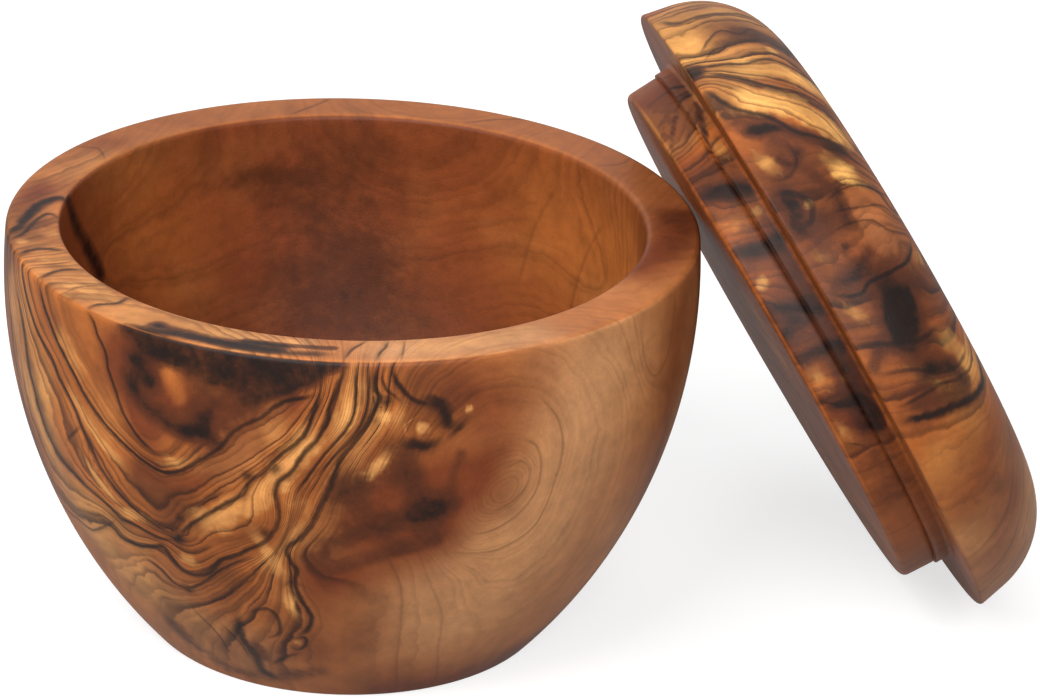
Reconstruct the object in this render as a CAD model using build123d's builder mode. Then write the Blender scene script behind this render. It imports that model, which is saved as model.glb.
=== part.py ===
from build123d import *
import os
from math import cos, radians, sin, sqrt, tan

# Sugar canister: a bowl turned from one block of wood, and its lift-off lid turned from another.
# Millimetres, +Z up. The origin is the middle of the bowl's flat foot, on the surface it stands on.
# The lid is off the bowl: its spigot leans on the bowl's rim, and its own rim is at that surface.

# Bowl, outside
bowl_height = 68.0
belly_radius = 55.5  # the widest place
belly_drop = 8.0  # how far the widest place lies below the rim
foot_radius = 32.5  # where the side meets the surface, before its edge is rounded
foot_edge = 0.8
rim_outer_edge = 1.0

# Bowl, inside
rim_wall = 8.6  # width of the flat rim
rim_inner_edge = 1.0
mouth_headroom = 1.4  # straight part of the mouth below the spigot's end
floor_thickness = 9.0
low_wall = 10.5  # level thickness of the side at the height of the floor
floor_curve = 14.0  # hollow corner between the side and the floor

# Lid, above the shoulder that sits on the rim
lid_overhang = 0.4  # how far the lid stands out past the rim when it is on
lid_height = 19.2
lid_side_lean = 11.0  # degrees
lid_crown_radius = 450.0  # the top is nearly flat
lid_top_curve = 15.5
lid_rim_edge = 0.5

# Lid, spigot that drops into the mouth
spigot_clearance = 0.6  # radial gap between the collar and the mouth
spigot_depth = 8.6
spigot_lead = 0.25  # how much smaller the spigot is at its end
spigot_edge = 1.1
collar_depth = 2.6  # upper band of the spigot, next to the shoulder
collar_step = 0.45  # how far the lower band is set in from the collar
scribe_width = 0.5  # scribed line under the collar
scribe_depth = 0.4

# Where the lid leans
lean_angle = 61.0  # degrees between the lid's shoulder and the surface
lean_azimuth = 14.33  # degrees from +X towards +Y
lean_sideways = 3.0  # how far the lid's middle lies to the side of the point that it leans on
lean_clearance = 0.3  # gap left at the bowl's rim and at the surface

# Outside of the bowl: one arc from the foot to the rim, upright at the belly
belly_height = bowl_height - belly_drop
side_flare = belly_radius - foot_radius
side_radius = (belly_height**2 + side_flare**2) / (2 * side_flare)


def outer_radius(height):
    """Outer radius of the bowl at a height above the foot."""
    return belly_radius - side_radius + sqrt(side_radius**2 - (height - belly_height) ** 2)


rim_radius = outer_radius(bowl_height)

# Inside of the bowl: a straight mouth for the spigot, then one arc down to the floor
mouth_radius = rim_radius - rim_wall
hollow_top = bowl_height - spigot_depth - mouth_headroom
hollow_depth = hollow_top - floor_thickness
floor_radius = outer_radius(floor_thickness) - low_wall
hollow_flare = mouth_radius - floor_radius
hollow_radius = (hollow_depth**2 + hollow_flare**2) / (2 * hollow_flare)


def inner_radius(height):
    """Radius of the hollow at a height between its floor and the straight mouth."""
    return mouth_radius - hollow_radius + sqrt(hollow_radius**2 - (hollow_top - height) ** 2)


def round_corner(radius, height, rounding):
    """Round the corner that the profile being drawn has at this radius and height."""
    corner = vertices().sort_by_distance((radius, height))[0]
    fillet(corner, rounding)


with BuildPart() as bowl:
    with BuildSketch(Plane.XZ):
        with BuildLine():
            Line((0, 0), (foot_radius, 0))
            ThreePointArc(
                (foot_radius, 0),
                (outer_radius(bowl_height / 2), bowl_height / 2),
                (rim_radius, bowl_height),
            )
            Line((rim_radius, bowl_height), (mouth_radius, bowl_height))
            Line((mouth_radius, bowl_height), (mouth_radius, hollow_top))
            ThreePointArc(
                (mouth_radius, hollow_top),
                (inner_radius(hollow_top - hollow_depth / 2), hollow_top - hollow_depth / 2),
                (floor_radius, floor_thickness),
            )
            Line((floor_radius, floor_thickness), (0, floor_thickness))
            Line((0, floor_thickness), (0, 0))
        make_face()
        round_corner(foot_radius, 0, foot_edge)
        round_corner(rim_radius, bowl_height, rim_outer_edge)
        round_corner(mouth_radius, bowl_height, rim_inner_edge)
        round_corner(floor_radius, floor_thickness, floor_curve)
    revolve(axis=Axis.Z)

bowl.part.label = "bowl"

# Lid's profile, with heights from its shoulder
lid_radius = rim_radius + lid_overhang
collar_radius = mouth_radius - spigot_clearance
band_radius = collar_radius - collar_step
end_radius = band_radius - spigot_lead
crown_middle = lid_height - lid_crown_radius


def crown_height(radius):
    """Height of the lid's top at a radius."""
    return crown_middle + sqrt(lid_crown_radius**2 - radius**2)


# The leaning side meets the crown where both give one height: the upper root of a quadratic
side_slope = tan(radians(lid_side_lean))
root_sum = side_slope * lid_radius + crown_middle
root_product = (1 + side_slope**2) * (lid_radius**2 + crown_middle**2 - lid_crown_radius**2)
crown_edge_height = (root_sum + sqrt(root_sum**2 - root_product)) / (1 + side_slope**2)
crown_edge_radius = lid_radius - side_slope * crown_edge_height

# Place of the lid: the middle of its shoulder, found in the upright plane through the bowl's axis and
# the point that it leans on. Its rim clears the surface, and its spigot's end clears the bowl's rim.
lean_sin = sin(radians(lean_angle))
lean_cos = cos(radians(lean_angle))
edge_circle_radius = lid_radius - lid_rim_edge * tan(radians(45 + lid_side_lean / 2))
lid_centre_height = (
    lean_clearance + lid_rim_edge + edge_circle_radius * lean_sin - lid_rim_edge * lean_cos
)
rim_circle_height = bowl_height - rim_outer_edge
rim_circle_radius = outer_radius(rim_circle_height) - rim_outer_edge
rim_to_shoulder = spigot_depth + rim_outer_edge + lean_clearance
lid_centre_reach = (
    rim_circle_radius
    + (lean_cos * (rim_circle_height - lid_centre_height) + rim_to_shoulder) / lean_sin
)

away = Vector(cos(radians(lean_azimuth)), sin(radians(lean_azimuth)), 0)
aside = Vector(sin(radians(lean_azimuth)), -cos(radians(lean_azimuth)), 0)
lid_centre = away * lid_centre_reach + aside * lean_sideways + Vector(0, 0, lid_centre_height)
lid_axis = away * lean_sin + Vector(0, 0, lean_cos)
downhill = away * lean_cos - Vector(0, 0, lean_sin)
lid_section = Plane(origin=lid_centre, x_dir=downhill, z_dir=downhill.cross(lid_axis))

with BuildPart() as lid:
    with BuildSketch(lid_section):
        with BuildLine():
            Polyline(
                (0, lid_height),
                (0, -spigot_depth),
                (end_radius, -spigot_depth),
                (band_radius, -collar_depth - scribe_width),
                (band_radius - scribe_depth, -collar_depth),
                (collar_radius, -collar_depth),
                (collar_radius, 0),
                (lid_radius, 0),
                (crown_edge_radius, crown_edge_height),
            )
            ThreePointArc(
                (crown_edge_radius, crown_edge_height),
                (crown_edge_radius / 2, crown_height(crown_edge_radius / 2)),
                (0, lid_height),
            )
        make_face()
        round_corner(end_radius, -spigot_depth, spigot_edge)
        round_corner(lid_radius, 0, lid_rim_edge)
        round_corner(crown_edge_radius, crown_edge_height, lid_top_curve)
    revolve(axis=Axis(lid_centre, lid_axis))

lid.part.label = "lid"

os.makedirs("parts", exist_ok=True)
export_step(bowl.part, "parts/bowl.step")
export_step(lid.part, "parts/lid.step")
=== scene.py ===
"""A turned wooden sugar bowl with its lift-off lid leaning on the rim.

Sizes are in millimetres, as a turner would measure them. Meshes are made in metres.
"""

import logging
import math
from dataclasses import dataclass, field, replace
from enum import Enum
from functools import partial, reduce

import bmesh
import bpy
import numpy as np
from mathutils import Matrix, Vector


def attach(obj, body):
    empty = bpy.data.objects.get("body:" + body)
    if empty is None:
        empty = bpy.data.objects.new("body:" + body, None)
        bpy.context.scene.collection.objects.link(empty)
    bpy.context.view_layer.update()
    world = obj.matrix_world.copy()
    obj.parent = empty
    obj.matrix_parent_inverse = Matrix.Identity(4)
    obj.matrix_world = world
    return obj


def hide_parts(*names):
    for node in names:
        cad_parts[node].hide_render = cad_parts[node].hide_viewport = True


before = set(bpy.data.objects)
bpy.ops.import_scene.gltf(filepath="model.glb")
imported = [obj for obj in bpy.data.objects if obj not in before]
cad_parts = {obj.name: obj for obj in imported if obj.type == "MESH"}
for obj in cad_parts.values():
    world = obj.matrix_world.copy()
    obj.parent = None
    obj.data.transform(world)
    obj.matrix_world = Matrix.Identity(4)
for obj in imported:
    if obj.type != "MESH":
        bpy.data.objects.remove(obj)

log = logging.getLogger("sugar_bowl")
MM = 0.001
FINE_STEP = 0.02
TWICE = 0.01  # points closer than this are one point
Curve = np.ndarray
Place = tuple[float, float]
Colour = tuple[float, float, float]
Socket = bpy.types.NodeSocket


class Face(Enum):
    """The turned faces that a line of the figure can lie on."""

    OUTSIDE = "outside"
    RIM = "rim"
    INSIDE = "inside"
    DOME = "dome"
    CROWN = "crown"
    SHOULDER = "shoulder"
    SPIGOT = "spigot"
    END = "end"


class Mark(Enum):
    """What a mark does to the colour round it: mostly marks in the wood, with a few soft patches that are
    painted shade and painted highlight.
    """

    HEART = "heart"
    LIVELY = "lively"
    PALE = "pale"
    SMOKE = "smoke"
    INK = "ink"
    GOLD = "gold"


def straight(start: Place, end: Place) -> Curve:
    """A straight run of a profile.

    Args:
        start: Radius and height where it starts.
        end: Radius and height where it ends.

    Returns:
        Closely spaced points from start to end.
    """
    count = max(2, int(math.dist(start, end) / FINE_STEP) + 1)
    return np.linspace(start, end, count)


def sweep(centre: Place, start: Place, end: Place) -> Curve:
    """A circular run of a profile, the short way round its centre.

    Args:
        centre: Radius and height of the arc's centre.
        start: Radius and height where it starts.
        end: Radius and height where it ends.

    Returns:
        Closely spaced points from start to end.
    """
    radius = math.dist(centre, start)
    first = math.atan2(start[1] - centre[1], start[0] - centre[0])
    last = math.atan2(end[1] - centre[1], end[0] - centre[0])
    turn = (last - first + math.pi) % (2 * math.pi) - math.pi
    count = max(4, int(abs(turn) * radius / FINE_STEP) + 1)
    angles = first + np.linspace(0, turn, count)
    return np.stack([centre[0] + radius * np.cos(angles), centre[1] + radius * np.sin(angles)], 1)


def thin_out(points: Curve, step: float) -> Curve:
    """Spaces a run's points evenly.

    Args:
        points: A closely spaced run.
        step: The spacing wanted.

    Returns:
        Points about a step apart, with both ends kept.
    """
    along = np.concatenate([[0], np.cumsum(np.hypot(*np.diff(points, axis=0).T))])
    count = max(2, int(round(along[-1] / step)) + 1)
    wanted = np.linspace(0, along[-1], count)
    return np.stack([np.interp(wanted, along, points[:, 0]), np.interp(wanted, along, points[:, 1])], 1)


def round_corner(before: Curve, after: Curve, radius: float) -> tuple[Curve, Curve, Curve]:
    """Rounds the corner where two runs meet.

    Args:
        before: The run that ends at the corner.
        after: The run that starts there.
        radius: The rounding's radius.

    Returns:
        The first run cut short, the rounding, and the second run cut short.
    """
    ahead, behind = np.gradient(before, axis=0), np.gradient(after, axis=0)
    ahead /= np.linalg.norm(ahead, axis=1)[:, None]
    behind /= np.linalg.norm(behind, axis=1)[:, None]
    side = math.copysign(1, ahead[-1, 0] * behind[0, 1] - ahead[-1, 1] * behind[0, 0])
    inner = before + side * radius * np.stack([-ahead[:, 1], ahead[:, 0]], 1)
    outer = after + side * radius * np.stack([-behind[:, 1], behind[:, 0]], 1)
    gaps = np.hypot(inner[:, None, 0] - outer[None, :, 0], inner[:, None, 1] - outer[None, :, 1])
    i, j = np.unravel_index(np.argmin(gaps), gaps.shape)
    centre = tuple((inner[i] + outer[j]) / 2)
    return before[: i + 1], sweep(centre, tuple(before[i]), tuple(after[j])), after[j:]


@dataclass
class Run:
    """One run of a profile: its points, how far apart they end up, and the rounding that follows it."""

    points: Curve
    step: float
    rounding: float = 0.0

    BEND_SHARE = 0.3
    WIDEST_BEND_STEP = 0.8

    @property
    def bend_step(self) -> float:
        """How far apart the rounding's own points end up."""
        return min(self.rounding * self.BEND_SHARE, self.WIDEST_BEND_STEP)


def turn_profile(runs: list[Run]) -> Curve:
    """Joins runs into the line that is turned round the axis.

    Args:
        runs: The runs in order, from the axis back to the axis.

    Returns:
        One row of radius and height for each point, with no point twice.
    """
    curves = [run.points for run in runs]
    bends: list[Curve | None] = [None] * len(runs)
    for n, run in enumerate(runs[:-1]):
        if run.rounding:
            curves[n], bends[n], curves[n + 1] = round_corner(curves[n], curves[n + 1], run.rounding)
    rows = []
    for n, run in enumerate(runs):
        rows.append(thin_out(curves[n], run.step))
        if bends[n] is not None:
            rows.append(thin_out(bends[n], run.bend_step))
    line = np.concatenate(rows)
    keep = np.concatenate([[True], np.hypot(*np.diff(line, axis=0).T) > TWICE])
    return line[keep]


class Wiring:
    """Adds nodes to a shader or geometry tree and links them."""

    def __init__(self, tree: bpy.types.NodeTree) -> None:
        """Keeps the tree."""
        self.tree = tree

    def give(self, socket: Socket, value: object) -> None:
        """Links another socket to one, or sets its value."""
        if isinstance(value, bpy.types.NodeSocket):
            self.tree.links.new(value, socket)
        else:
            socket.default_value = value

    def node(self, kind: str, settings: dict[str, object] | None = None, **inputs: object) -> bpy.types.Node:
        """Adds a node.

        Args:
            kind: The node's type name.
            settings: Its own settings.
            **inputs: Values or sockets, named as the node's inputs with _ for a space, or as i and a place.

        Returns:
            The node.
        """
        made = self.tree.nodes.new(kind)
        for name, value in (settings or {}).items():
            setattr(made, name, value)
        for name, value in inputs.items():
            by_place = name[1:].isdigit()
            self.give(made.inputs[int(name[1:]) if by_place else name.replace("_", " ")], value)
        return made

    def math(self, operation: str, *values: object) -> Socket:
        """One, two or three numbers or sockets put through a math node."""
        inputs = {f"i{n}": value for n, value in enumerate(values)}
        return self.node("ShaderNodeMath", {"operation": operation}, **inputs).outputs[0]

    def plus(self, *values: object) -> Socket:
        """The sum of two or more numbers or sockets."""
        return reduce(partial(self.math, "ADD"), values)

    def times(self, *values: object) -> Socket:
        """The product of two or more numbers or sockets."""
        return reduce(partial(self.math, "MULTIPLY"), values)

    def scaled(self, value: Socket, factor: object, shift: object) -> Socket:
        """A value times a factor, plus a shift."""
        return self.math("MULTIPLY_ADD", value, factor, shift)

    def centred(self, noise: Socket, strength: float) -> Socket:
        """A noise moved so that its middle is 0, and stretched to a strength."""
        return self.scaled(noise, strength, -strength / 2)

    def between(self, value: Socket, low: float, high: float, start: float = 0.0, end: float = 1.0) -> Socket:
        """A value eased from start to end as it goes from low to high."""
        made = self.node("ShaderNodeMapRange", {"interpolation_type": "SMOOTHSTEP"})
        for socket, number in zip(made.inputs, (value, low, high, start, end)):
            self.give(socket, number)
        return made.outputs[0]

    def mix(self, share: object, first: object, second: object) -> Socket:
        """One colour laid over another by a share."""
        made = self.node("ShaderNodeMix", {"data_type": "RGBA"}, i0=share, i6=first, i7=second)
        return made.outputs[2]

    def noise(self, place: Socket, scale: float, detail: float = 2.0, w: object | None = None,
              roughness: float = 0.5) -> Socket:
        """Soft noise from 0 to 1, in four dimensions when w is given."""
        made = self.node("ShaderNodeTexNoise", {"noise_dimensions": "4D" if w is not None else "3D"},
                         Vector=place, Scale=scale, Detail=detail, Roughness=roughness)
        if w is not None:
            self.give(made.inputs["W"], w)
        return made.outputs["Fac"]


class Lathe:
    """The Geometry Nodes tree that turns a profile round the axis into a closed solid's skin."""

    WELD = 0.002 * MM  # how near points are when they are joined into one
    SLIVER = 0.0005 * MM  # edges shorter than this are taken out
    INPUTS = {
        "Profile": "NodeSocketGeometry", "Steps Round": "NodeSocketInt",
        "Joining Distance": "NodeSocketFloat", "Wood": "NodeSocketMaterial",
    }

    def __init__(self) -> None:
        """Builds the tree once, for every turned piece."""
        self.tree = bpy.data.node_groups.new("turn_on_lathe", "GeometryNodeTree")
        for name, kind in self.INPUTS.items():
            self.tree.interface.new_socket(name, in_out="INPUT", socket_type=kind)
        self.tree.interface.new_socket("Turned Piece", in_out="OUTPUT", socket_type="NodeSocketGeometry")
        self._fill()

    def _fill(self) -> None:
        """Lays the profile's points out on a grid, turns each column of it and welds the seam and poles."""
        w = Wiring(self.tree)
        profile, steps, joining, wood = w.node("NodeGroupInput").outputs[: len(self.INPUTS)]
        size = w.node("GeometryNodeAttributeDomainSize", {"component": "MESH"}, Geometry=profile)
        count = size.outputs["Point Count"]
        grid = w.node("GeometryNodeMeshGrid", Size_X=1.0, Size_Y=1.0,
                      Vertices_X=w.plus(steps, 1.0), Vertices_Y=count)
        index = w.node("GeometryNodeInputIndex").outputs[0]
        column = w.math("FLOOR", w.math("DIVIDE", index, count))
        angle = w.times(w.math("DIVIDE", column, steps), 2 * math.pi)
        place = w.node("GeometryNodeInputPosition").outputs[0]
        sample = w.node("GeometryNodeSampleIndex", {"data_type": "FLOAT_VECTOR", "domain": "POINT"},
                        Geometry=profile, Value=place, Index=w.math("MODULO", index, count))
        turned = w.node("ShaderNodeVectorRotate", {"rotation_type": "Z_AXIS"},
                        Vector=sample.outputs["Value"], Angle=angle)
        shaped = w.node("GeometryNodeSetPosition", Geometry=grid.outputs["Mesh"], Position=turned.outputs[0])
        welded = w.node("GeometryNodeMergeByDistance", Geometry=shaped.outputs[0], Distance=joining)
        smooth = w.node("GeometryNodeSetShadeSmooth", i0=welded.outputs[0])
        real = w.node("GeometryNodeRealizeInstances", i0=smooth.outputs[0])
        dressed = w.node("GeometryNodeSetMaterial", i0=real.outputs[0], Material=wood)
        w.node("NodeGroupOutput", i0=dressed.outputs[0])

    def turn(self, name: str, profile: Curve, steps: int, wood: bpy.types.Material) -> bpy.types.Object:
        """Turns one piece.

        Args:
            name: The piece's name.
            profile: Radius and height of each profile point, in millimetres.
            steps: How many steps make the full turn.
            wood: The piece's material.

        Returns:
            The piece as a plain mesh object, faces outwards, in metres.
        """
        line = bpy.data.meshes.new(name + "_profile")
        joints = [(n, n + 1) for n in range(len(profile) - 1)]
        line.from_pydata([(r * MM, 0.0, z * MM) for r, z in profile], joints, [])
        holder = bpy.data.objects.new(name + "_profile", line)
        bpy.context.collection.objects.link(holder)
        modifier = holder.modifiers.new("lathe", "NODES")
        modifier.node_group = self.tree
        wanted = {"Steps Round": steps, "Joining Distance": self.WELD, "Wood": wood}
        for item in self.tree.interface.items_tree:
            if item.in_out == "INPUT" and item.name in wanted:
                modifier[item.identifier] = wanted[item.name]
        finished = holder.evaluated_get(bpy.context.evaluated_depsgraph_get())
        mesh = bpy.data.meshes.new_from_object(finished)
        bpy.data.objects.remove(holder)
        shell = bmesh.new()
        shell.from_mesh(mesh)
        bmesh.ops.dissolve_degenerate(shell, edges=shell.edges, dist=self.SLIVER)
        bmesh.ops.recalc_face_normals(shell, faces=shell.faces)
        shell.to_mesh(mesh)
        shell.free()
        mesh.name = name
        piece = bpy.data.objects.new(name, mesh)
        bpy.context.collection.objects.link(piece)
        return piece


@dataclass(frozen=True)
class Strand:
    """One line or soft patch of the figure, as a chain of places on a face; a few soft patches are painted
    shade and painted highlight instead.

    A place is the turn round the axis in degrees and a height, radius or distance along the face in
    millimetres. Width is half the line's width. Level, where it has one, ties the growth lines to it.
    Fade is how far from its ends a line reaches its full strength.
    """

    places: tuple[Place, ...]
    mark: Mark | None = None
    width: float = 0.5
    amount: float = 1.0
    level: float | None = None
    face: Face = Face.OUTSIDE
    fade: float = 3.0


@dataclass
class TurnedPiece:
    """A piece turned on the lathe, with the figure of its wood."""

    name: str
    body: str
    wood_slot: str
    steps: int
    strands: tuple[Strand, ...] = ()
    ground: dict[Face, tuple[float, float, float]] = field(default_factory=dict)

    CHAIN_STEP = 1.2
    DEGREE_LENGTH = 0.9  # about how many millimetres a degree is, round either piece

    def runs(self) -> list[Run]:
        """The runs of the piece's profile."""
        raise NotImplementedError

    def profile(self) -> Curve:
        """The whole profile, radius and height."""
        return turn_profile(self.runs())

    def on_face(self, face: Face, places: np.ndarray) -> np.ndarray:
        """Places on a face as points in space.

        Args:
            face: The face they lie on.
            places: Rows of turn in degrees and distance in millimetres.

        Returns:
            Rows of x, y and z in millimetres, in the piece's own upright frame.
        """
        raise NotImplementedError

    def faces_at(self, points: np.ndarray) -> np.ndarray:
        """Which face each surface point belongs to.

        Args:
            points: Rows of x, y and z in millimetres.

        Returns:
            A Face for each point.
        """
        raise NotImplementedError

    def placement(self) -> Matrix:
        """The move that takes the piece from upright at the origin to where it belongs, in metres."""
        return Matrix.Identity(4)

    def chain(self, strand: Strand) -> np.ndarray:
        """A strand's places joined by a smooth curve, about a millimetre apart.

        Args:
            strand: The strand.

        Returns:
            Points in space, in the piece's own upright frame.
        """
        knots = np.array(strand.places, float)
        if len(knots) == 1:
            return self.on_face(strand.face, knots)
        ends = np.concatenate([[2 * knots[0] - knots[1]], knots, [2 * knots[-1] - knots[-2]]])
        rows = []
        across = 1.0 if strand.face is Face.CROWN else self.DEGREE_LENGTH
        for a, b, c, d in zip(ends, ends[1:], ends[2:], ends[3:]):
            count = max(2, int(math.hypot((c[0] - b[0]) * across, c[1] - b[1]) / self.CHAIN_STEP) + 1)
            t = np.arange(count)[:, None] / count
            rows.append(0.5 * (2 * b + (c - a) * t + (2 * a - 5 * b + 4 * c - d) * t**2
                               + (3 * b - a - 3 * c + d) * t**3))
        rows.append(knots[-1:])
        return self.on_face(strand.face, np.concatenate(rows))


def nearest(points: np.ndarray, outward: np.ndarray, chain: np.ndarray) -> tuple[np.ndarray, np.ndarray]:
    """How far points lie from a chain, and on which side.

    Args:
        points: The points.
        outward: The surface's direction at each point.
        chain: The chain's points in order.

    Returns:
        The signed distance of each point, and how far along the chain its nearest place is.
    """
    best = np.full(len(points), np.inf)
    side = np.ones(len(points))
    place = np.zeros(len(points))
    if len(chain) == 1:
        return np.linalg.norm(points - chain[0], axis=1), place
    travelled = 0.0
    for start, end in zip(chain, chain[1:]):
        span = end - start
        length = float(np.linalg.norm(span))
        if not length:
            continue
        along = np.clip((points - start) @ span / length**2, 0, 1)
        offset = points - start - along[:, None] * span
        gap = np.linalg.norm(offset, axis=1)
        closer = gap < best
        best = np.where(closer, gap, best)
        hand = np.sign(np.einsum("ij,ij->i", np.cross(span, outward), offset))
        side = np.where(closer, np.where(hand == 0, 1, hand), side)
        place = np.where(closer, travelled + along * length, place)
        travelled += length
    return best * side, place


class FigureMap:
    """Works out, point by point, how the figure runs over a piece.

    Sizes are in millimetres. Far is the distance, in half-widths, that means no line.
    """

    KNOT_EVERY = 3
    STIFFNESS = 3.0
    SMOOTHING = 0.5
    LAYERS = 3
    SPACING = 2.0
    SPACING_WIDTHS = 2.4
    CUT_OFF = 1.5
    REACH_WIDTHS = 2.6
    SOFT_EDGE = 0.4
    END_STRENGTH = 0.15
    SEARCH = 8.0
    FAR = 9.0

    def __init__(self, piece: TurnedPiece, points: np.ndarray, outward: np.ndarray) -> None:
        """Keeps the piece and where its surface lies.

        Args:
            piece: The piece.
            points: Its surface points in millimetres.
            outward: The surface's direction at each.
        """
        self.piece = piece
        self.points = points
        self.outward = outward
        self.faces = piece.faces_at(points)

    def reached(self, strand: Strand) -> np.ndarray:
        """Which points a strand's marks can reach: those on its own face."""
        return self.faces == (Face.DOME if strand.face is Face.CROWN else strand.face)

    def level(self) -> np.ndarray:
        """The growth level over the surface: a smooth field through every strand that has a level."""
        knots, values = [], []
        for strand in self.piece.strands:
            if strand.level is None:
                continue
            chain = self.piece.chain(strand)[:: self.KNOT_EVERY]
            knots.append(chain)
            values.append(np.full(len(chain), strand.level))
        at, value = np.concatenate(knots), np.concatenate(values)
        apart = np.linalg.norm(at[:, None] - at[None], axis=2)
        core = -np.sqrt(apart**2 + self.STIFFNESS**2)
        core[np.diag_indices(len(at))] += self.SMOOTHING
        system = np.block([[core, np.ones((len(at), 1))], [np.ones((1, len(at))), np.zeros((1, 1))]])
        weights = np.linalg.solve(system, np.append(value, 0.0))
        field_value = np.full(len(self.points), weights[-1])
        for spot, weight in zip(at, weights[:-1]):
            field_value -= weight * np.sqrt(((self.points - spot) ** 2).sum(1) + self.STIFFNESS**2)
        return field_value

    def patches(self, mark: Mark) -> np.ndarray:
        """How strongly a soft mark shows at each point.

        Args:
            mark: The kind of mark.

        Returns:
            A value for each point, 0 where there is none.
        """
        total = np.zeros(len(self.points))
        for strand in self.piece.strands:
            if strand.mark is not mark:
                continue
            chain = self.piece.chain(strand)
            reach = strand.width * self.REACH_WIDTHS
            low, high = chain.min(0) - reach, chain.max(0) + reach
            near = np.all((self.points > low) & (self.points < high), axis=1) & self.reached(strand)
            gap, _ = nearest(self.points[near], self.outward[near], chain)
            total[near] += strand.amount * np.exp(-((gap / strand.width) ** 2))
        return total

    def sorted_lines(self, mark: Mark) -> list[list[Strand]]:
        """Shares the lines of a kind out over the layers, so that close ones never meet in one layer.

        Args:
            mark: Ink or gold.

        Returns:
            The strands of each layer.
        """
        layers: list[list[tuple[Strand, np.ndarray]]] = [[] for _ in range(self.LAYERS)]
        for strand in (s for s in self.piece.strands if s.mark is mark):
            chain = self.piece.chain(strand)
            room = []
            for layer in layers:
                gaps = [np.linalg.norm(chain[:, None] - other[None], axis=2).min()
                        - self.SPACING_WIDTHS * (strand.width + near.width) for near, other in layer]
                room.append(min(gaps, default=math.inf))
            fitting = [n for n, gap in enumerate(room) if gap > self.SPACING]
            layers[fitting[0] if fitting else int(np.argmax(room))].append((strand, chain))
        return [[strand for strand, _ in layer] for layer in layers]

    def lines(self, strands: list[Strand]) -> np.ndarray:
        """Where the nearest of some lines lies.

        Args:
            strands: The lines of one layer.

        Returns:
            Rows of signed distance over half-width, strength, and nothing. Where no line reaches, the
            distance keeps the sign of the nearest one, so that it never passes 0 between two points.
        """
        best = np.full(len(self.points), self.FAR)
        strength = np.zeros(len(self.points))
        away, beyond = np.full(len(self.points), np.inf), best.copy()
        for strand in strands:
            chain = self.piece.chain(strand)
            low, high = chain.min(0) - self.SEARCH, chain.max(0) + self.SEARCH
            inside = np.all((self.points > low) & (self.points < high), axis=1) & self.reached(strand)
            near = np.flatnonzero(inside)
            gap, place = nearest(self.points[near], self.outward[near], chain)
            total = float(np.linalg.norm(np.diff(chain, axis=0), axis=1).sum()) if len(chain) > 1 else 0.0
            ends = np.minimum(place, total - place) if total else np.full(len(near), self.FAR)
            fading = np.clip(self.END_STRENGTH + ends / strand.fade, 0, 1)
            reach = max(self.CUT_OFF, strand.width * self.REACH_WIDTHS)
            fading = fading * np.clip((reach - abs(gap)) / (reach * self.SOFT_EDGE), 0, 1)
            ratio = gap / strand.width
            closer = (abs(ratio) < abs(best[near])) & (fading > 0)
            best[near] = np.where(closer, ratio, best[near])
            strength[near] = np.where(closer, strand.amount * fading, strength[near])
            nearer = abs(gap) < away[near]
            away[near] = np.where(nearer, abs(gap), away[near])
            beyond[near] = np.where(nearer, np.copysign(self.FAR, gap), beyond[near])
        best = np.where(strength > 0, best, beyond)
        return np.stack([np.clip(best, -self.FAR, self.FAR), strength, np.zeros(len(best))], 1)

    def write(self, mesh: bpy.types.Mesh) -> None:
        """Stores the figure on the mesh, as attributes that its wood's material reads.

        Args:
            mesh: The piece's mesh.
        """
        ground = np.array([self.piece.ground[face] for face in self.faces])
        zone = np.stack([self.patches(mark) for mark in (Mark.HEART, Mark.LIVELY, Mark.PALE)], 1)
        layers = {
            "growth": ("FLOAT", self.level()),
            "smoke": ("FLOAT", np.clip(self.patches(Mark.SMOKE), 0, 1)),
            "zone": ("FLOAT_VECTOR", np.clip(zone + ground, 0, 1)),
        }
        for mark in (Mark.INK, Mark.GOLD):
            for n, strands in enumerate(self.sorted_lines(mark)):
                layers[f"{mark.value}_{n}"] = ("FLOAT_VECTOR", self.lines(strands))
        for name, (kind, values) in layers.items():
            layer = mesh.attributes.new(name, kind, "POINT")
            key = "value" if kind == "FLOAT" else "vector"
            layer.data.foreach_set(key, np.ascontiguousarray(values, dtype=np.float32).ravel())


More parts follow.
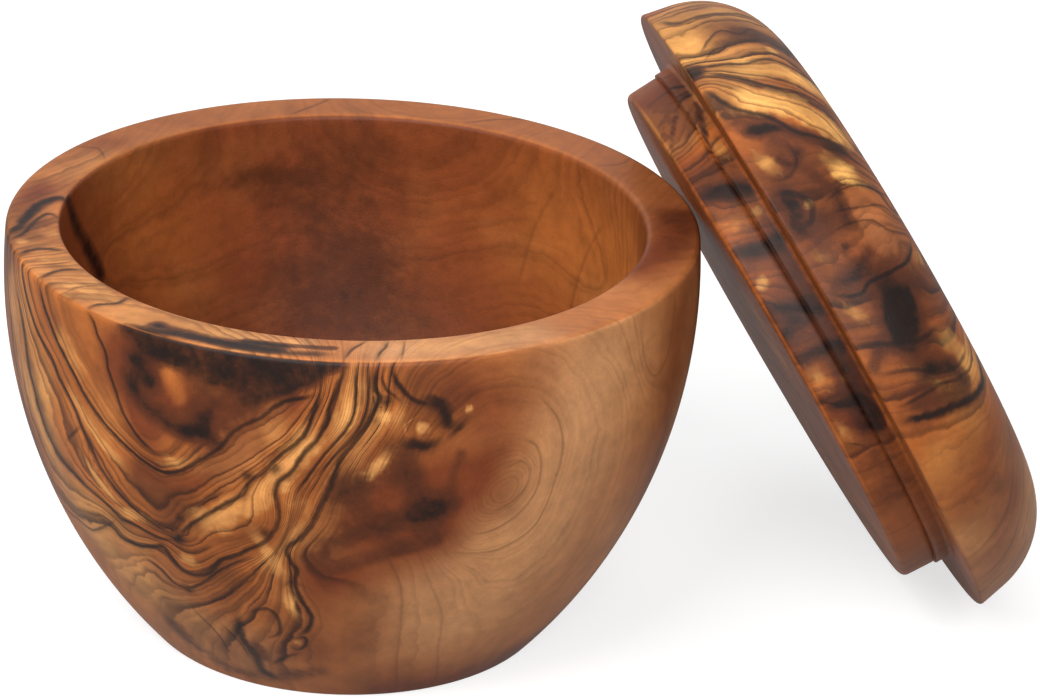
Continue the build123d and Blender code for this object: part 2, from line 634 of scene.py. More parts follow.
@dataclass
class Bowl(TurnedPiece):
    """The bowl: its outside curve, flat rim, straight mouth and hollow."""

    height: float = 68.0
    belly_radius: float = 55.5
    belly_drop: float = 8.0
    foot_radius: float = 32.5
    foot_edge: float = 0.8
    rim_outer_edge: float = 1.0
    rim_wall: float = 8.6
    rim_inner_edge: float = 1.0
    mouth_depth: float = 10.0
    floor_thickness: float = 9.0
    low_wall: float = 10.5
    floor_curve: float = 14.0

    RIM_SKIN = 0.35  # how far below the rim its rounded edges still count as rim

    @property
    def belly_height(self) -> float:
        """Where the outside is widest."""
        return self.height - self.belly_drop

    @property
    def side_radius(self) -> float:
        """The radius of the outside curve, seen from the side."""
        flare = self.belly_radius - self.foot_radius
        return (self.belly_height**2 + flare**2) / (2 * flare)

    def outer_radius(self, height: float | np.ndarray) -> float | np.ndarray:
        """How far out the outside is at a height."""
        across = np.sqrt(self.side_radius**2 - (height - self.belly_height) ** 2)
        return self.belly_radius - self.side_radius + across

    @property
    def rim_radius(self) -> float:
        """The rim's outer radius."""
        return float(self.outer_radius(self.height))

    @property
    def mouth_radius(self) -> float:
        """The radius of the straight mouth."""
        return self.rim_radius - self.rim_wall

    @property
    def floor_radius(self) -> float:
        """How far out the hollow's curve reaches the floor."""
        return float(self.outer_radius(self.floor_thickness)) - self.low_wall

    @property
    def hollow_top(self) -> float:
        """Where the straight mouth ends and the hollow's curve begins."""
        return self.height - self.mouth_depth

    @property
    def hollow_radius(self) -> float:
        """The radius of the hollow's curve, seen from the side."""
        flare = self.mouth_radius - self.floor_radius
        depth = self.hollow_top - self.floor_thickness
        return (depth**2 + flare**2) / (2 * flare)

    def inner_radius(self, height: float | np.ndarray) -> float | np.ndarray:
        """How far out the hollow's wall is at a height."""
        below = np.maximum(self.hollow_top - height, 0)
        return self.mouth_radius - self.hollow_radius + np.sqrt(self.hollow_radius**2 - below**2)

    def runs(self) -> list[Run]:
        """The runs of the profile: underside, outside, rim, mouth, hollow and floor."""
        side_centre = (self.belly_radius - self.side_radius, self.belly_height)
        hollow_centre = (self.mouth_radius - self.hollow_radius, self.hollow_top)
        foot, rim = (self.foot_radius, 0.0), (self.rim_radius, self.height)
        mouth, mouth_foot = (self.mouth_radius, self.height), (self.mouth_radius, self.hollow_top)
        floor = (self.floor_radius, self.floor_thickness)
        return [
            Run(straight((0.0, 0.0), foot), step=2.5, rounding=self.foot_edge),
            Run(sweep(side_centre, foot, rim), step=0.78, rounding=self.rim_outer_edge),
            Run(straight(rim, mouth), step=0.7, rounding=self.rim_inner_edge),
            Run(straight(mouth, mouth_foot), step=1.0),
            Run(sweep(hollow_centre, mouth_foot, floor), step=1.1, rounding=self.floor_curve),
            Run(straight(floor, (0.0, self.floor_thickness)), step=2.2),
        ]

    def on_face(self, face: Face, places: np.ndarray) -> np.ndarray:
        """Places on the bowl: turn from the front towards the lid, and a height, or a radius on the rim."""
        turn, reach = np.radians(places[:, 0]), places[:, 1]
        if face is Face.RIM:
            radius, height = reach, np.full(len(reach), self.height)
        elif face is Face.INSIDE:
            radius, height = self.inner_radius(reach), reach
        else:
            radius, height = self.outer_radius(reach), reach
        return np.stack([radius * np.sin(turn), -radius * np.cos(turn), height], 1)

    def faces_at(self, points: np.ndarray) -> np.ndarray:
        """The face of each point: the rim, the hollow's side or the outside."""
        radius, height = np.hypot(points[:, 0], points[:, 1]), points[:, 2]
        middle = (self.outer_radius(height) + self.inner_radius(height)) / 2
        faces = np.full(len(points), Face.OUTSIDE, dtype=object)
        faces[(radius < middle) & (height > self.floor_thickness / 2)] = Face.INSIDE
        faces[height > self.height - self.RIM_SKIN] = Face.RIM
        return faces


@dataclass
class Lid(TurnedPiece):
    """The lid: its dome, sharp rim, shoulder, collar, scribed line and spigot, leaning on the bowl."""

    radius: float = 55.543
    height: float = 19.2
    side_lean: float = 11.0
    crown_radius: float = 450.0
    top_curve: float = 15.5
    rim_edge: float = 0.5
    collar_radius: float = 45.943
    collar_depth: float = 2.6
    collar_step: float = 0.45
    scribe_width: float = 0.5
    scribe_depth: float = 0.4
    spigot_depth: float = 8.6
    spigot_lead: float = 0.25
    spigot_edge: float = 1.1
    seat: tuple[float, float, float] = (74.1278, 15.8399, 48.6059)
    lean: float = 61.0
    towards: float = 14.33

    RIM_MARGIN = 0.3
    SKIN = 0.1  # how far off a flat face a point still counts as on it
    END_SHARE = 0.4  # how much of the spigot's rounded edge counts as its end

    @property
    def crown_edge(self) -> Place:
        """Where the leaning side would meet the crown if that edge were sharp."""
        slope = math.tan(math.radians(self.side_lean))
        middle = self.height - self.crown_radius
        a, b = 1 + slope**2, -2 * (self.radius * slope + middle)
        c = self.radius**2 + middle**2 - self.crown_radius**2
        edge = (-b + math.sqrt(b * b - 4 * a * c)) / (2 * a)
        return self.radius - slope * edge, edge

    def runs(self) -> list[Run]:
        """The runs of the profile: spigot end, band, scribed line, collar, shoulder, side and crown."""
        band = self.collar_radius - self.collar_step
        end = band - self.spigot_lead
        line_low = (band, -self.collar_depth - self.scribe_width)
        line_deep = (band - self.scribe_depth, -self.collar_depth)
        line_high = (self.collar_radius, -self.collar_depth)
        collar, rim = (self.collar_radius, 0.0), (self.radius, 0.0)
        crown_centre = (0.0, self.height - self.crown_radius)
        tip = (end, -self.spigot_depth)
        return [
            Run(straight((0.0, -self.spigot_depth), tip), step=1.6, rounding=self.spigot_edge),
            Run(straight(tip, line_low), step=0.6),
            Run(straight(line_low, line_deep), step=0.22),
            Run(straight(line_deep, line_high), step=0.3),
            Run(straight(line_high, collar), step=0.6),
            Run(straight(collar, rim), step=0.9, rounding=self.rim_edge),
            Run(straight(rim, self.crown_edge), step=0.65, rounding=self.top_curve),
            Run(sweep(crown_centre, self.crown_edge, (0.0, self.height)), step=1.0),
        ]

    @property
    def dome_line(self) -> Curve:
        """The dome's part of the profile, from its sharp rim to the middle of the crown."""
        line = self.profile()
        return line[int(np.argmax(line[:, 0])):]

    def on_face(self, face: Face, places: np.ndarray) -> np.ndarray:
        """Places on the lid: turn from its high side towards the front, and a reach along the face.

        On the dome the reach is how far up it from the rim, on the spigot the depth below the shoulder,
        and on the shoulder and the spigot's end it is the radius. Places on the crown are x and y.
        """
        turn, reach = np.radians(places[:, 0]), places[:, 1]
        if face is Face.DOME:
            line = self.dome_line
            along = np.concatenate([[0], np.cumsum(np.hypot(*np.diff(line, axis=0).T))])
            radius, height = np.interp(reach, along, line[:, 0]), np.interp(reach, along, line[:, 1])
        elif face is Face.CROWN:
            rise = np.sqrt(self.crown_radius**2 - places[:, 0] ** 2 - places[:, 1] ** 2)
            return np.column_stack([places, rise + self.height - self.crown_radius])
        elif face is Face.SPIGOT:
            radius, height = np.full(len(reach), self.collar_radius), -reach
        elif face is Face.END:
            radius, height = reach, np.full(len(reach), -self.spigot_depth)
        else:
            radius, height = reach, np.zeros(len(reach))
        return np.stack([radius * np.cos(turn), radius * np.sin(turn), height], 1)

    def faces_at(self, points: np.ndarray) -> np.ndarray:
        """The face of each point: dome and crown are one face, and so are collar and spigot."""
        radius, height = np.hypot(points[:, 0], points[:, 1]), points[:, 2]
        faces = np.full(len(points), Face.DOME, dtype=object)
        faces[(height < self.SKIN) & (radius < self.radius - self.RIM_MARGIN)] = Face.SHOULDER
        faces[(height < -self.SKIN / 2) & (radius < self.collar_radius + self.SKIN)] = Face.SPIGOT
        faces[height < self.spigot_edge * self.END_SHARE - self.spigot_depth] = Face.END
        return faces

    def placement(self) -> Matrix:
        """The move that takes the lid from upright at the origin to where it leans, in metres."""
        lean, towards = math.radians(self.lean), math.radians(self.towards)
        ahead, aside = math.cos(towards), math.sin(towards)
        out = Vector((math.sin(lean) * ahead, math.sin(lean) * aside, math.cos(lean)))
        high = -Vector((math.cos(lean) * ahead, math.cos(lean) * aside, -math.sin(lean)))
        turned = Matrix((high, out.cross(high), out)).transposed().to_4x4()
        return Matrix.Translation(Vector(self.seat) * MM) @ turned


@dataclass(frozen=True)
class FiguredWood:
    """An oiled, strongly figured wood: its colours, its growth lines and its sheen."""

    name: str
    pale: Colour
    honey: Colour
    heart: Colour
    umber: Colour
    soot: Colour
    gold: Colour
    line_pitch: float = 4.2
    wander: float = 0.3
    roughness: float = 0.46
    refraction: float = 1.45
    specular: float = 0.22
    relief: float = 0.25
    relief_depth: float = 0.0002


def linear(colour: Colour) -> tuple[float, float, float, float]:
    """A colour as a screen shows it, as the shader wants it.

    Args:
        colour: Red, green and blue from 0 to 1.

    Returns:
        The linear colour with full alpha.
    """
    parts = [c / 12.92 if c <= 0.04045 else ((c + 0.055) / 1.055) ** 2.4 for c in colour]
    return (*parts, 1.0)


@dataclass(frozen=True)
class Grain:
    """The noises along the growth lines that several layers of colour share, from broad to fine."""

    place: Socket
    growth: Socket
    wide: Socket
    streak: Socket
    hair: Socket
    presence: Socket
    veins: Socket
    threads: Socket


class WoodWorks:
    """The shader group that every figured wood shares, and the materials made with it.

    The group takes a place in millimetres, the figure's layers, a wood's settings and its colours.
    Noise scales are features to a millimetre.
    """

    NUMBERS = ("Growth", "Smoke")
    VECTORS = ("Zone", "Ink 0", "Ink 1", "Ink 2", "Gold 0", "Gold 1", "Gold 2")
    SETTINGS = ("Line Pitch", "Wander", "Base Roughness")
    TONES = ("Pale", "Honey", "Heart", "Umber", "Soot", "Gold")

    SLOW_WARP, QUICK_WARP, QUICK_STRENGTH = 0.08, 0.27, 1.2
    UNEVEN_SCALE, UNEVEN_PITCH, UNEVEN_STRENGTH = 0.008, 0.7, 0.4
    WIDE_SCALE, STREAK_SCALE, HAIR_SCALE, PRESENCE_SCALE = 0.02, 0.035, 0.06, 0.07
    WIDE_PITCH, STREAK_PITCH, HAIR_PITCH, VEIN_PITCH, THREAD_PITCH = 0.8, 0.6, 2.2, 0.3, 0.75
    REDDENING, BRIGHTNESS, VEIN_STRENGTH, VEIN_SOOT = 0.35, 0.85, 0.95, 0.65
    GILT_SCALE, GILT_WAVER, GILT_CORE, LINE_EDGE = 0.45, 2.2, 0.4, 1.7
    INK_SCALE, INK_WAVER, INK_CORE, INK_SHADE, SHADE_WIDTH = 0.7, 1.4, 0.3, 0.55, 5.0
    MOTTLE_SCALE, SOOT_SCALE, UMBER_SHARE, SOOT_SHARE = 0.14, 0.55, 0.85, 0.96
    ALONG_SCALE, ALONG_PITCH, FLECK_SCALE, PATCH_SCALE, PATCH_PITCH = 0.5, 5.0, 2.6, 0.2, 0.9
    ALONG_TINT, FLECK_TINT, PATCH_TINT, GLOSS_CHANGE = 0.4, 0.24, 0.7, 0.16
    PORE_HEIGHT, ALONG_HEIGHT = 0.5, 0.3

    def __init__(self) -> None:
        """Builds the group once."""
        self.group = bpy.data.node_groups.new("figured_wood", "ShaderNodeTree")
        kinds = {"Place": "Vector"} | dict.fromkeys(self.NUMBERS + self.SETTINGS, "Float")
        kinds |= dict.fromkeys(self.VECTORS, "Vector") | {f"{tone} Colour": "Color" for tone in self.TONES}
        for name, kind in kinds.items():
            self.group.interface.new_socket(name, in_out="INPUT", socket_type="NodeSocket" + kind)
        for name, kind in (("Colour", "Color"), ("Gloss", "Float"), ("Height", "Float")):
            self.group.interface.new_socket(name, in_out="OUTPUT", socket_type="NodeSocket" + kind)
        self.w = Wiring(self.group)
        put_in = self.w.node("NodeGroupInput")
        self.get = {name: put_in.outputs[name] for name in kinds}
        self._fill()

    def _ridge(self, growth: Socket, pitch: Socket, shift: float) -> Socket:
        """Lines across the growth, each of its own strength, soft on one side and sharp on the other.

        Args:
            growth: The growth level.
            pitch: How many lines to a level.
            shift: Where the first line lies.

        Returns:
            0 between the lines and up to 1 on them.
        """
        w = self.w
        count = w.scaled(growth, pitch, shift)
        part = w.math("FRACT", count)
        own = w.node("ShaderNodeTexWhiteNoise", {"noise_dimensions": "1D"}, W=w.math("FLOOR", count))
        strength = w.between(own.outputs["Value"], 0.1, 0.8, 0.15, 1.0)
        line = w.times(w.between(part, 0.3, 0.9), w.between(part, 0.9, 1.0, 1.0, 0.0))
        return w.times(line, strength)

    def _marks(self, kind: str, wobble: Socket, core: float) -> tuple[Socket, Socket]:
        """How strongly any line of a kind shows.

        Args:
            kind: Ink or Gold.
            wobble: What makes the lines waver.
            core: Where a line is at its strongest, in half-widths.

        Returns:
            The strongest layer's share, and the share of the shade on its one side.
        """
        w, shares, shades = self.w, [], []
        for layer in range(FigureMap.LAYERS):
            signed, amount, _ = w.node("ShaderNodeSeparateXYZ", i0=self.get[f"{kind} {layer}"]).outputs
            signed = w.plus(signed, wobble)
            line = w.between(w.math("ABSOLUTE", signed), core, self.LINE_EDGE, 1.0, 0.0)
            shares.append(w.times(line, amount))
            shades.append(w.times(w.between(signed, 0.0, self.SHADE_WIDTH, 1.0, 0.0),
                                  w.between(signed, -0.6, 0.2), amount))
        return reduce(partial(w.math, "MAXIMUM"), shares), reduce(partial(w.math, "MAXIMUM"), shades)

    def _grain(self) -> Grain:
        """The warped growth level and the noises that follow it."""
        w, get = self.w, self.get
        millimetres = w.node("ShaderNodeVectorMath", {"operation": "SCALE"}, i0=get["Place"], Scale=1 / MM)
        place = millimetres.outputs[0]
        slow = w.times(w.math("SUBTRACT", w.noise(place, self.SLOW_WARP), 0.5), get["Wander"])
        quick = w.times(w.centred(w.noise(place, self.QUICK_WARP, 3.0), self.QUICK_STRENGTH), get["Wander"])
        growth = w.plus(get["Growth"], slow, quick)
        pitch = get["Line Pitch"]
        uneven = w.noise(place, self.UNEVEN_SCALE, 1.0, w.times(growth, self.UNEVEN_PITCH))
        spread = w.scaled(uneven, self.UNEVEN_STRENGTH, growth)
        return Grain(
            place, growth,
            wide=w.noise(place, self.WIDE_SCALE, 2.0, w.times(growth, self.WIDE_PITCH)),
            streak=w.noise(place, self.STREAK_SCALE, 2.0, w.times(growth, w.times(pitch, self.STREAK_PITCH))),
            hair=w.noise(place, self.HAIR_SCALE, 3.0, w.times(growth, w.times(pitch, self.HAIR_PITCH))),
            presence=w.noise(place, self.PRESENCE_SCALE, 2.0, 5.1),
            veins=self._ridge(spread, w.times(pitch, self.VEIN_PITCH), 0.3),
            threads=self._ridge(spread, w.times(pitch, self.THREAD_PITCH), 0.0))

    def _ground(self, grain: Grain) -> Socket:
        """The wood itself: honey, pale or heart, with bright, dusky and fuzzy streaks, veins and threads; the
        zone's heart and pale shares also hold some painted shade and painted light.
        """
        w, get = self.w, self.get
        heart, lively, pale = w.node("ShaderNodeSeparateXYZ", i0=get["Zone"]).outputs
        redder = w.mix(self.REDDENING, get["Honey Colour"], get["Heart Colour"])
        base = w.mix(w.between(grain.wide, 0.4, 0.62), get["Honey Colour"], redder)
        base = w.mix(pale, base, get["Pale Colour"])
        base = w.mix(heart, base, get["Heart Colour"])
        bright = w.times(w.between(grain.streak, 0.5, 0.34), w.times(lively, self.BRIGHTNESS))
        base = w.mix(w.times(bright, w.scaled(heart, -0.8, 1.0)), base, get["Gold Colour"])
        dusk = w.times(w.between(grain.streak, 0.5, 0.66), w.scaled(lively, 0.7, 0.03))
        base = w.mix(dusk, base, get["Umber Colour"])
        fuzz = w.times(w.between(grain.hair, 0.42, 0.68), w.scaled(lively, 0.42, 0.14))
        base = w.mix(fuzz, base, w.mix(0.5, get["Heart Colour"], get["Umber Colour"]))
        thread = w.times(grain.threads, w.between(grain.presence, 0.68, 0.35, 0.35, 1.0),
                         w.scaled(lively, 0.8, 0.12))
        base = w.mix(thread, base, get["Umber Colour"])
        vein = w.times(grain.veins, w.between(grain.presence, 0.32, 0.5), w.times(lively, self.VEIN_STRENGTH))
        return w.mix(vein, base, w.mix(self.VEIN_SOOT, get["Umber Colour"], get["Soot Colour"]))

    def _gild(self, base: Socket, grain: Grain) -> Socket:
        """Bright streaks laid over the wood, broken up by its finer lines; one on the front of the bowl's rim
        is a painted highlight.
        """
        w = self.w
        gilt, _ = self._marks("Gold", w.centred(w.noise(grain.place, self.GILT_SCALE, 3.0), self.GILT_WAVER),
                              self.GILT_CORE)
        gilt = w.times(gilt, w.between(grain.hair, 0.36, 0.66, 1.0, 0.3))
        gilt = w.times(gilt, w.math("SUBTRACT", 1.0, w.times(grain.threads, 0.6)))
        return w.mix(gilt, base, self.get["Gold Colour"])

    def _stain(self, base: Socket, grain: Grain) -> Socket:
        """Mottled dark stains, umber at the edges and sooty in the middle; the smoke layer also holds some
        painted shade on the bowl.
        """
        w, smoke = self.w, self.get["Smoke"]
        mottle = w.times(w.centred(w.noise(grain.place, self.MOTTLE_SCALE, 4.0, 3.7, 0.6), 1.7), 0.65)
        change = w.plus(mottle, w.times(w.centred(grain.hair, 1.4), 0.4),
                        w.centred(w.noise(grain.place, self.SOOT_SCALE, 3.0, 7.7, 0.6), 0.5))
        smoke = w.plus(smoke, w.times(change, w.between(smoke, 0.02, 0.5)))
        base = w.mix(w.between(smoke, 0.1, 0.6, 0.0, self.UMBER_SHARE), base, self.get["Umber Colour"])
        return w.mix(w.between(smoke, 0.55, 1.1, 0.0, self.SOOT_SHARE), base, self.get["Soot Colour"])

    def _draw_ink(self, base: Socket, grain: Grain) -> Socket:
        """Dark lines, each with a soft shade on one side."""
        w, get = self.w, self.get
        dark, shade = self._marks("Ink", w.centred(w.noise(grain.place, self.INK_SCALE, 3.0), self.INK_WAVER),
                                  self.INK_CORE)
        base = w.mix(w.times(shade, self.INK_SHADE), base, get["Umber Colour"])
        return w.mix(w.times(dark, w.between(grain.presence, 0.3, 0.6, 0.75, 1.0)), base, get["Soot Colour"])

    def _fill(self) -> None:
        """Wires the grain, the figure's layers and the pores into a colour, a roughness and a height."""
        w, grain = self.w, self._grain()
        base = self._draw_ink(self._stain(self._gild(self._ground(grain), grain), grain), grain)
        along = w.noise(grain.place, self.ALONG_SCALE, 3.0, w.times(grain.growth, self.ALONG_PITCH), 0.65)
        flecks = w.noise(grain.place, self.FLECK_SCALE, 2.0, 1.3, 0.6)
        patchy = w.noise(grain.place, self.PATCH_SCALE, 3.0, w.times(grain.growth, self.PATCH_PITCH), 0.6)
        tint = w.plus(w.centred(along, self.ALONG_TINT), w.centred(flecks, self.FLECK_TINT),
                      w.centred(patchy, self.PATCH_TINT))
        tinted = w.node("ShaderNodeHueSaturation", Fac=1.0, Color=base, Value=w.plus(1.0, tint))
        gloss = w.plus(self.get["Base Roughness"], w.centred(along, self.GLOSS_CHANGE))
        height = w.plus(w.times(w.between(flecks, 0.3, 0.45), self.PORE_HEIGHT),
                        w.times(along, self.ALONG_HEIGHT))
        w.node("NodeGroupOutput", i0=tinted.outputs[0], i1=gloss, i2=height)

    def material(self, wood: FiguredWood) -> bpy.types.Material:
        """A wood's own material.

        Args:
            wood: The wood.

        Returns:
            The material, which reads the figure that its piece carries.
        """
        made = bpy.data.materials.new(wood.name)
        made.use_nodes = True
        made.node_tree.nodes.clear()
        w = Wiring(made.node_tree)
        place = w.node("ShaderNodeTexCoord").outputs["Object"]
        values = {"Place": w.node("ShaderNodeMapping", Vector=place).outputs[0],
                  "Line Pitch": wood.line_pitch, "Wander": wood.wander, "Base Roughness": wood.roughness}
        values |= {f"{tone} Colour": linear(getattr(wood, tone.lower())) for tone in self.TONES}
        for name in self.NUMBERS + self.VECTORS:
            layer = w.node("ShaderNodeAttribute", {"attribute_name": name.lower().replace(" ", "_")})
            values[name] = layer.outputs["Fac" if name in self.NUMBERS else "Vector"]
        figure = w.node("ShaderNodeGroup", {"node_tree": self.group})
        for name, value in values.items():
            w.give(figure.inputs[name], value)
        bump = w.node("ShaderNodeBump", Strength=wood.relief, Distance=wood.relief_depth,
                      Height=figure.outputs["Height"])
        skin = w.node("ShaderNodeBsdfPrincipled", Base_Color=figure.outputs["Colour"],
                      Roughness=figure.outputs["Gloss"], IOR=wood.refraction,
                      Specular_IOR_Level=wood.specular, Normal=bump.outputs[0])
        w.node("ShaderNodeOutputMaterial", Surface=skin.outputs[0])
        return made


@dataclass(frozen=True)
class Softbox:
    """One soft square lamp: where it hangs and its side, in metres, and its power in watts."""

    name: str
    place: tuple[float, float, float]
    size: float
    power: float


@dataclass
class Studio:
    """The plain pale floor, the soft lamps and the camera where the photographer stood.

    The camera sees the floor and the surroundings white. A gloss sees a share of that, and what only
    lights the object is weaker still. Sizes are in metres, the lens and its sensor in millimetres.
    """

    camera_place: tuple[float, float, float] = (0.02716, -0.735863, 0.371056)
    camera_fall: float = 23.7904
    camera_tilt: float = 2.1616
    lens: float = 173.08
    sensor: float = 36.0
    clip: tuple[float, float] = (0.01, 20.0)
    floor_radius: float = 3.0
    floor_segments: int = 96
    floor_gap: float = 0.00005
    floor_white: float = 0.48
    floor_bounce: float = 0.2
    floor_glow: float = 0.68
    floor_roughness: float = 0.9
    floor_specular: float = 0.1
    floor_in_gloss: float = 0.4
    room_light: float = 0.21
    room_in_gloss: float = 0.6
    aim: tuple[float, float, float] = (0.03, 0.0, 0.04)
    lamps: tuple[Softbox, ...] = (
        Softbox("key_softbox", (-0.55, -0.75, 0.95), 0.75, 14.0),
        Softbox("fill_softbox", (0.28, -1.15, 0.68), 0.8, 13.5),
        Softbox("top_softbox", (0.0, 0.45, 1.1), 0.9, 4.0),
    )

    def build(self) -> None:
        """Puts up the whole studio."""
        self._camera()
        self._floor()
        self._world()
        for lamp in self.lamps:
            self._lamp(lamp)

    def _camera(self) -> None:
        """The camera, level with the photograph's view."""
        fall, tilt = math.radians(self.camera_fall), math.radians(self.camera_tilt)
        back = Vector((0, -math.cos(fall), math.sin(fall)))
        across, up = Vector((1, 0, 0)), Vector((0, math.sin(fall), math.cos(fall)))
        right = math.cos(tilt) * across + math.sin(tilt) * up
        above = -math.sin(tilt) * across + math.cos(tilt) * up
        data = bpy.data.cameras.new("camera")
        data.lens, data.sensor_width, data.sensor_fit = self.lens, self.sensor, "HORIZONTAL"
        data.clip_start, data.clip_end = self.clip
        camera = bpy.data.objects.new("camera", data)
        turned = Matrix((right, above, back)).transposed().to_4x4()
        camera.matrix_world = Matrix.Translation(self.camera_place) @ turned
        bpy.context.collection.objects.link(camera)
        bpy.context.scene.camera = camera

    def _seen(self, w: Wiring, in_gloss: float) -> Socket:
        """How white a surface looks to a ray: fully to the camera and through glass, partly in a gloss.

        Args:
            w: The wiring of the surface's tree.
            in_gloss: The share that a gloss sees.

        Returns:
            The share, 0 for a ray that only carries light.
        """
        path = w.node("ShaderNodeLightPath").outputs
        direct = w.math("MAXIMUM", path["Is Camera Ray"], w.times(path["Is Glossy Ray"], in_gloss))
        return w.math("MAXIMUM", direct, path["Is Transmission Ray"])

    def _floor(self) -> None:
        """A round white floor that keeps the shadows."""
        mesh = bpy.data.meshes.new("floor")
        shape = bmesh.new()
        bmesh.ops.create_circle(shape, cap_ends=True, radius=self.floor_radius, segments=self.floor_segments,
                                matrix=Matrix.Translation((0.0, 0.0, -self.floor_gap)))
        shape.to_mesh(mesh)
        shape.free()
        floor = bpy.data.objects.new("floor", mesh)
        bpy.context.collection.objects.link(floor)
        white = bpy.data.materials.new("white_floor")
        white.use_nodes = True
        white.node_tree.nodes.clear()
        w = Wiring(white.node_tree)
        seen = self._seen(w, self.floor_in_gloss)
        share = w.scaled(seen, self.floor_white - self.floor_bounce, self.floor_bounce)
        skin = w.node("ShaderNodeBsdfPrincipled", Base_Color=w.mix(share, (0, 0, 0, 1), (1, 1, 1, 1)),
                      Roughness=self.floor_roughness, Specular_IOR_Level=self.floor_specular,
                      Emission_Color=(1, 1, 1, 1), Emission_Strength=w.times(seen, self.floor_glow))
        w.node("ShaderNodeOutputMaterial", Surface=skin.outputs[0])
        mesh.materials.append(white)

    def _world(self) -> None:
        """White where the camera or a gloss looks, and a soft even light on everything."""
        world = bpy.data.worlds.new("studio")
        world.use_nodes = True
        world.node_tree.nodes.clear()
        w = Wiring(world.node_tree)
        strength = w.scaled(self._seen(w, self.room_in_gloss), 1.0 - self.room_light, self.room_light)
        light = w.node("ShaderNodeBackground", Color=(1, 1, 1, 1), Strength=strength)
        w.node("ShaderNodeOutputWorld", Surface=light.outputs[0])
        bpy.context.scene.world = world

    def _lamp(self, box: Softbox) -> None:
        """Hangs one lamp, aimed at the object."""
        data = bpy.data.lights.new(box.name, "AREA")
        data.shape, data.size, data.energy = "SQUARE", box.size, box.power
        lamp = bpy.data.objects.new(box.name, data)
        lamp.rotation_mode = "QUATERNION"
        lamp.rotation_quaternion = (Vector(self.aim) - Vector(box.place)).to_track_quat("-Z", "Y")
        lamp.location = box.place
        bpy.context.collection.objects.link(lamp)


OUT, RIM, INSIDE = Face.OUTSIDE, Face.RIM, Face.INSIDE
DOME, CROWN, SHOULDER, SPIGOT, END = Face.DOME, Face.CROWN, Face.SHOULDER, Face.SPIGOT, Face.END


def flow(level: float, *places: Place) -> Strand:
    """A growth line that only steers the finer ones beside it."""
    return Strand(places, level=level)


def ink(width: float, amount: float, *places: Place, level: float | None = None) -> Strand:
    """A dark line, which steers the finer ones when it has a level."""
    return Strand(places, Mark.INK, width, amount, level)


def soft(mark: Mark, width: float, amount: float, *places: Place) -> Strand:
    """A patch or streak of another tone, which takes that tone away where its amount is negative."""
    return Strand(places, mark, width, amount)


# A few heart, pale, smoke and gold patches below are painted light and shade rather than wood; each is marked
# where it stands.
heart, lively, pale = partial(soft, Mark.HEART), partial(soft, Mark.LIVELY), partial(soft, Mark.PALE)
smoke, gold = partial(soft, Mark.SMOKE), partial(soft, Mark.GOLD)


def on(face: Face, *strands: Strand) -> tuple[Strand, ...]:
    """Strands laid on a face.

    Args:
        face: The face. Where a place's numbers count from is said in the piece's on_face.
        *strands: The strands.

    Returns:
        The strands, each with its face.
    """
    return tuple(replace(strand, face=face) for strand in strands)


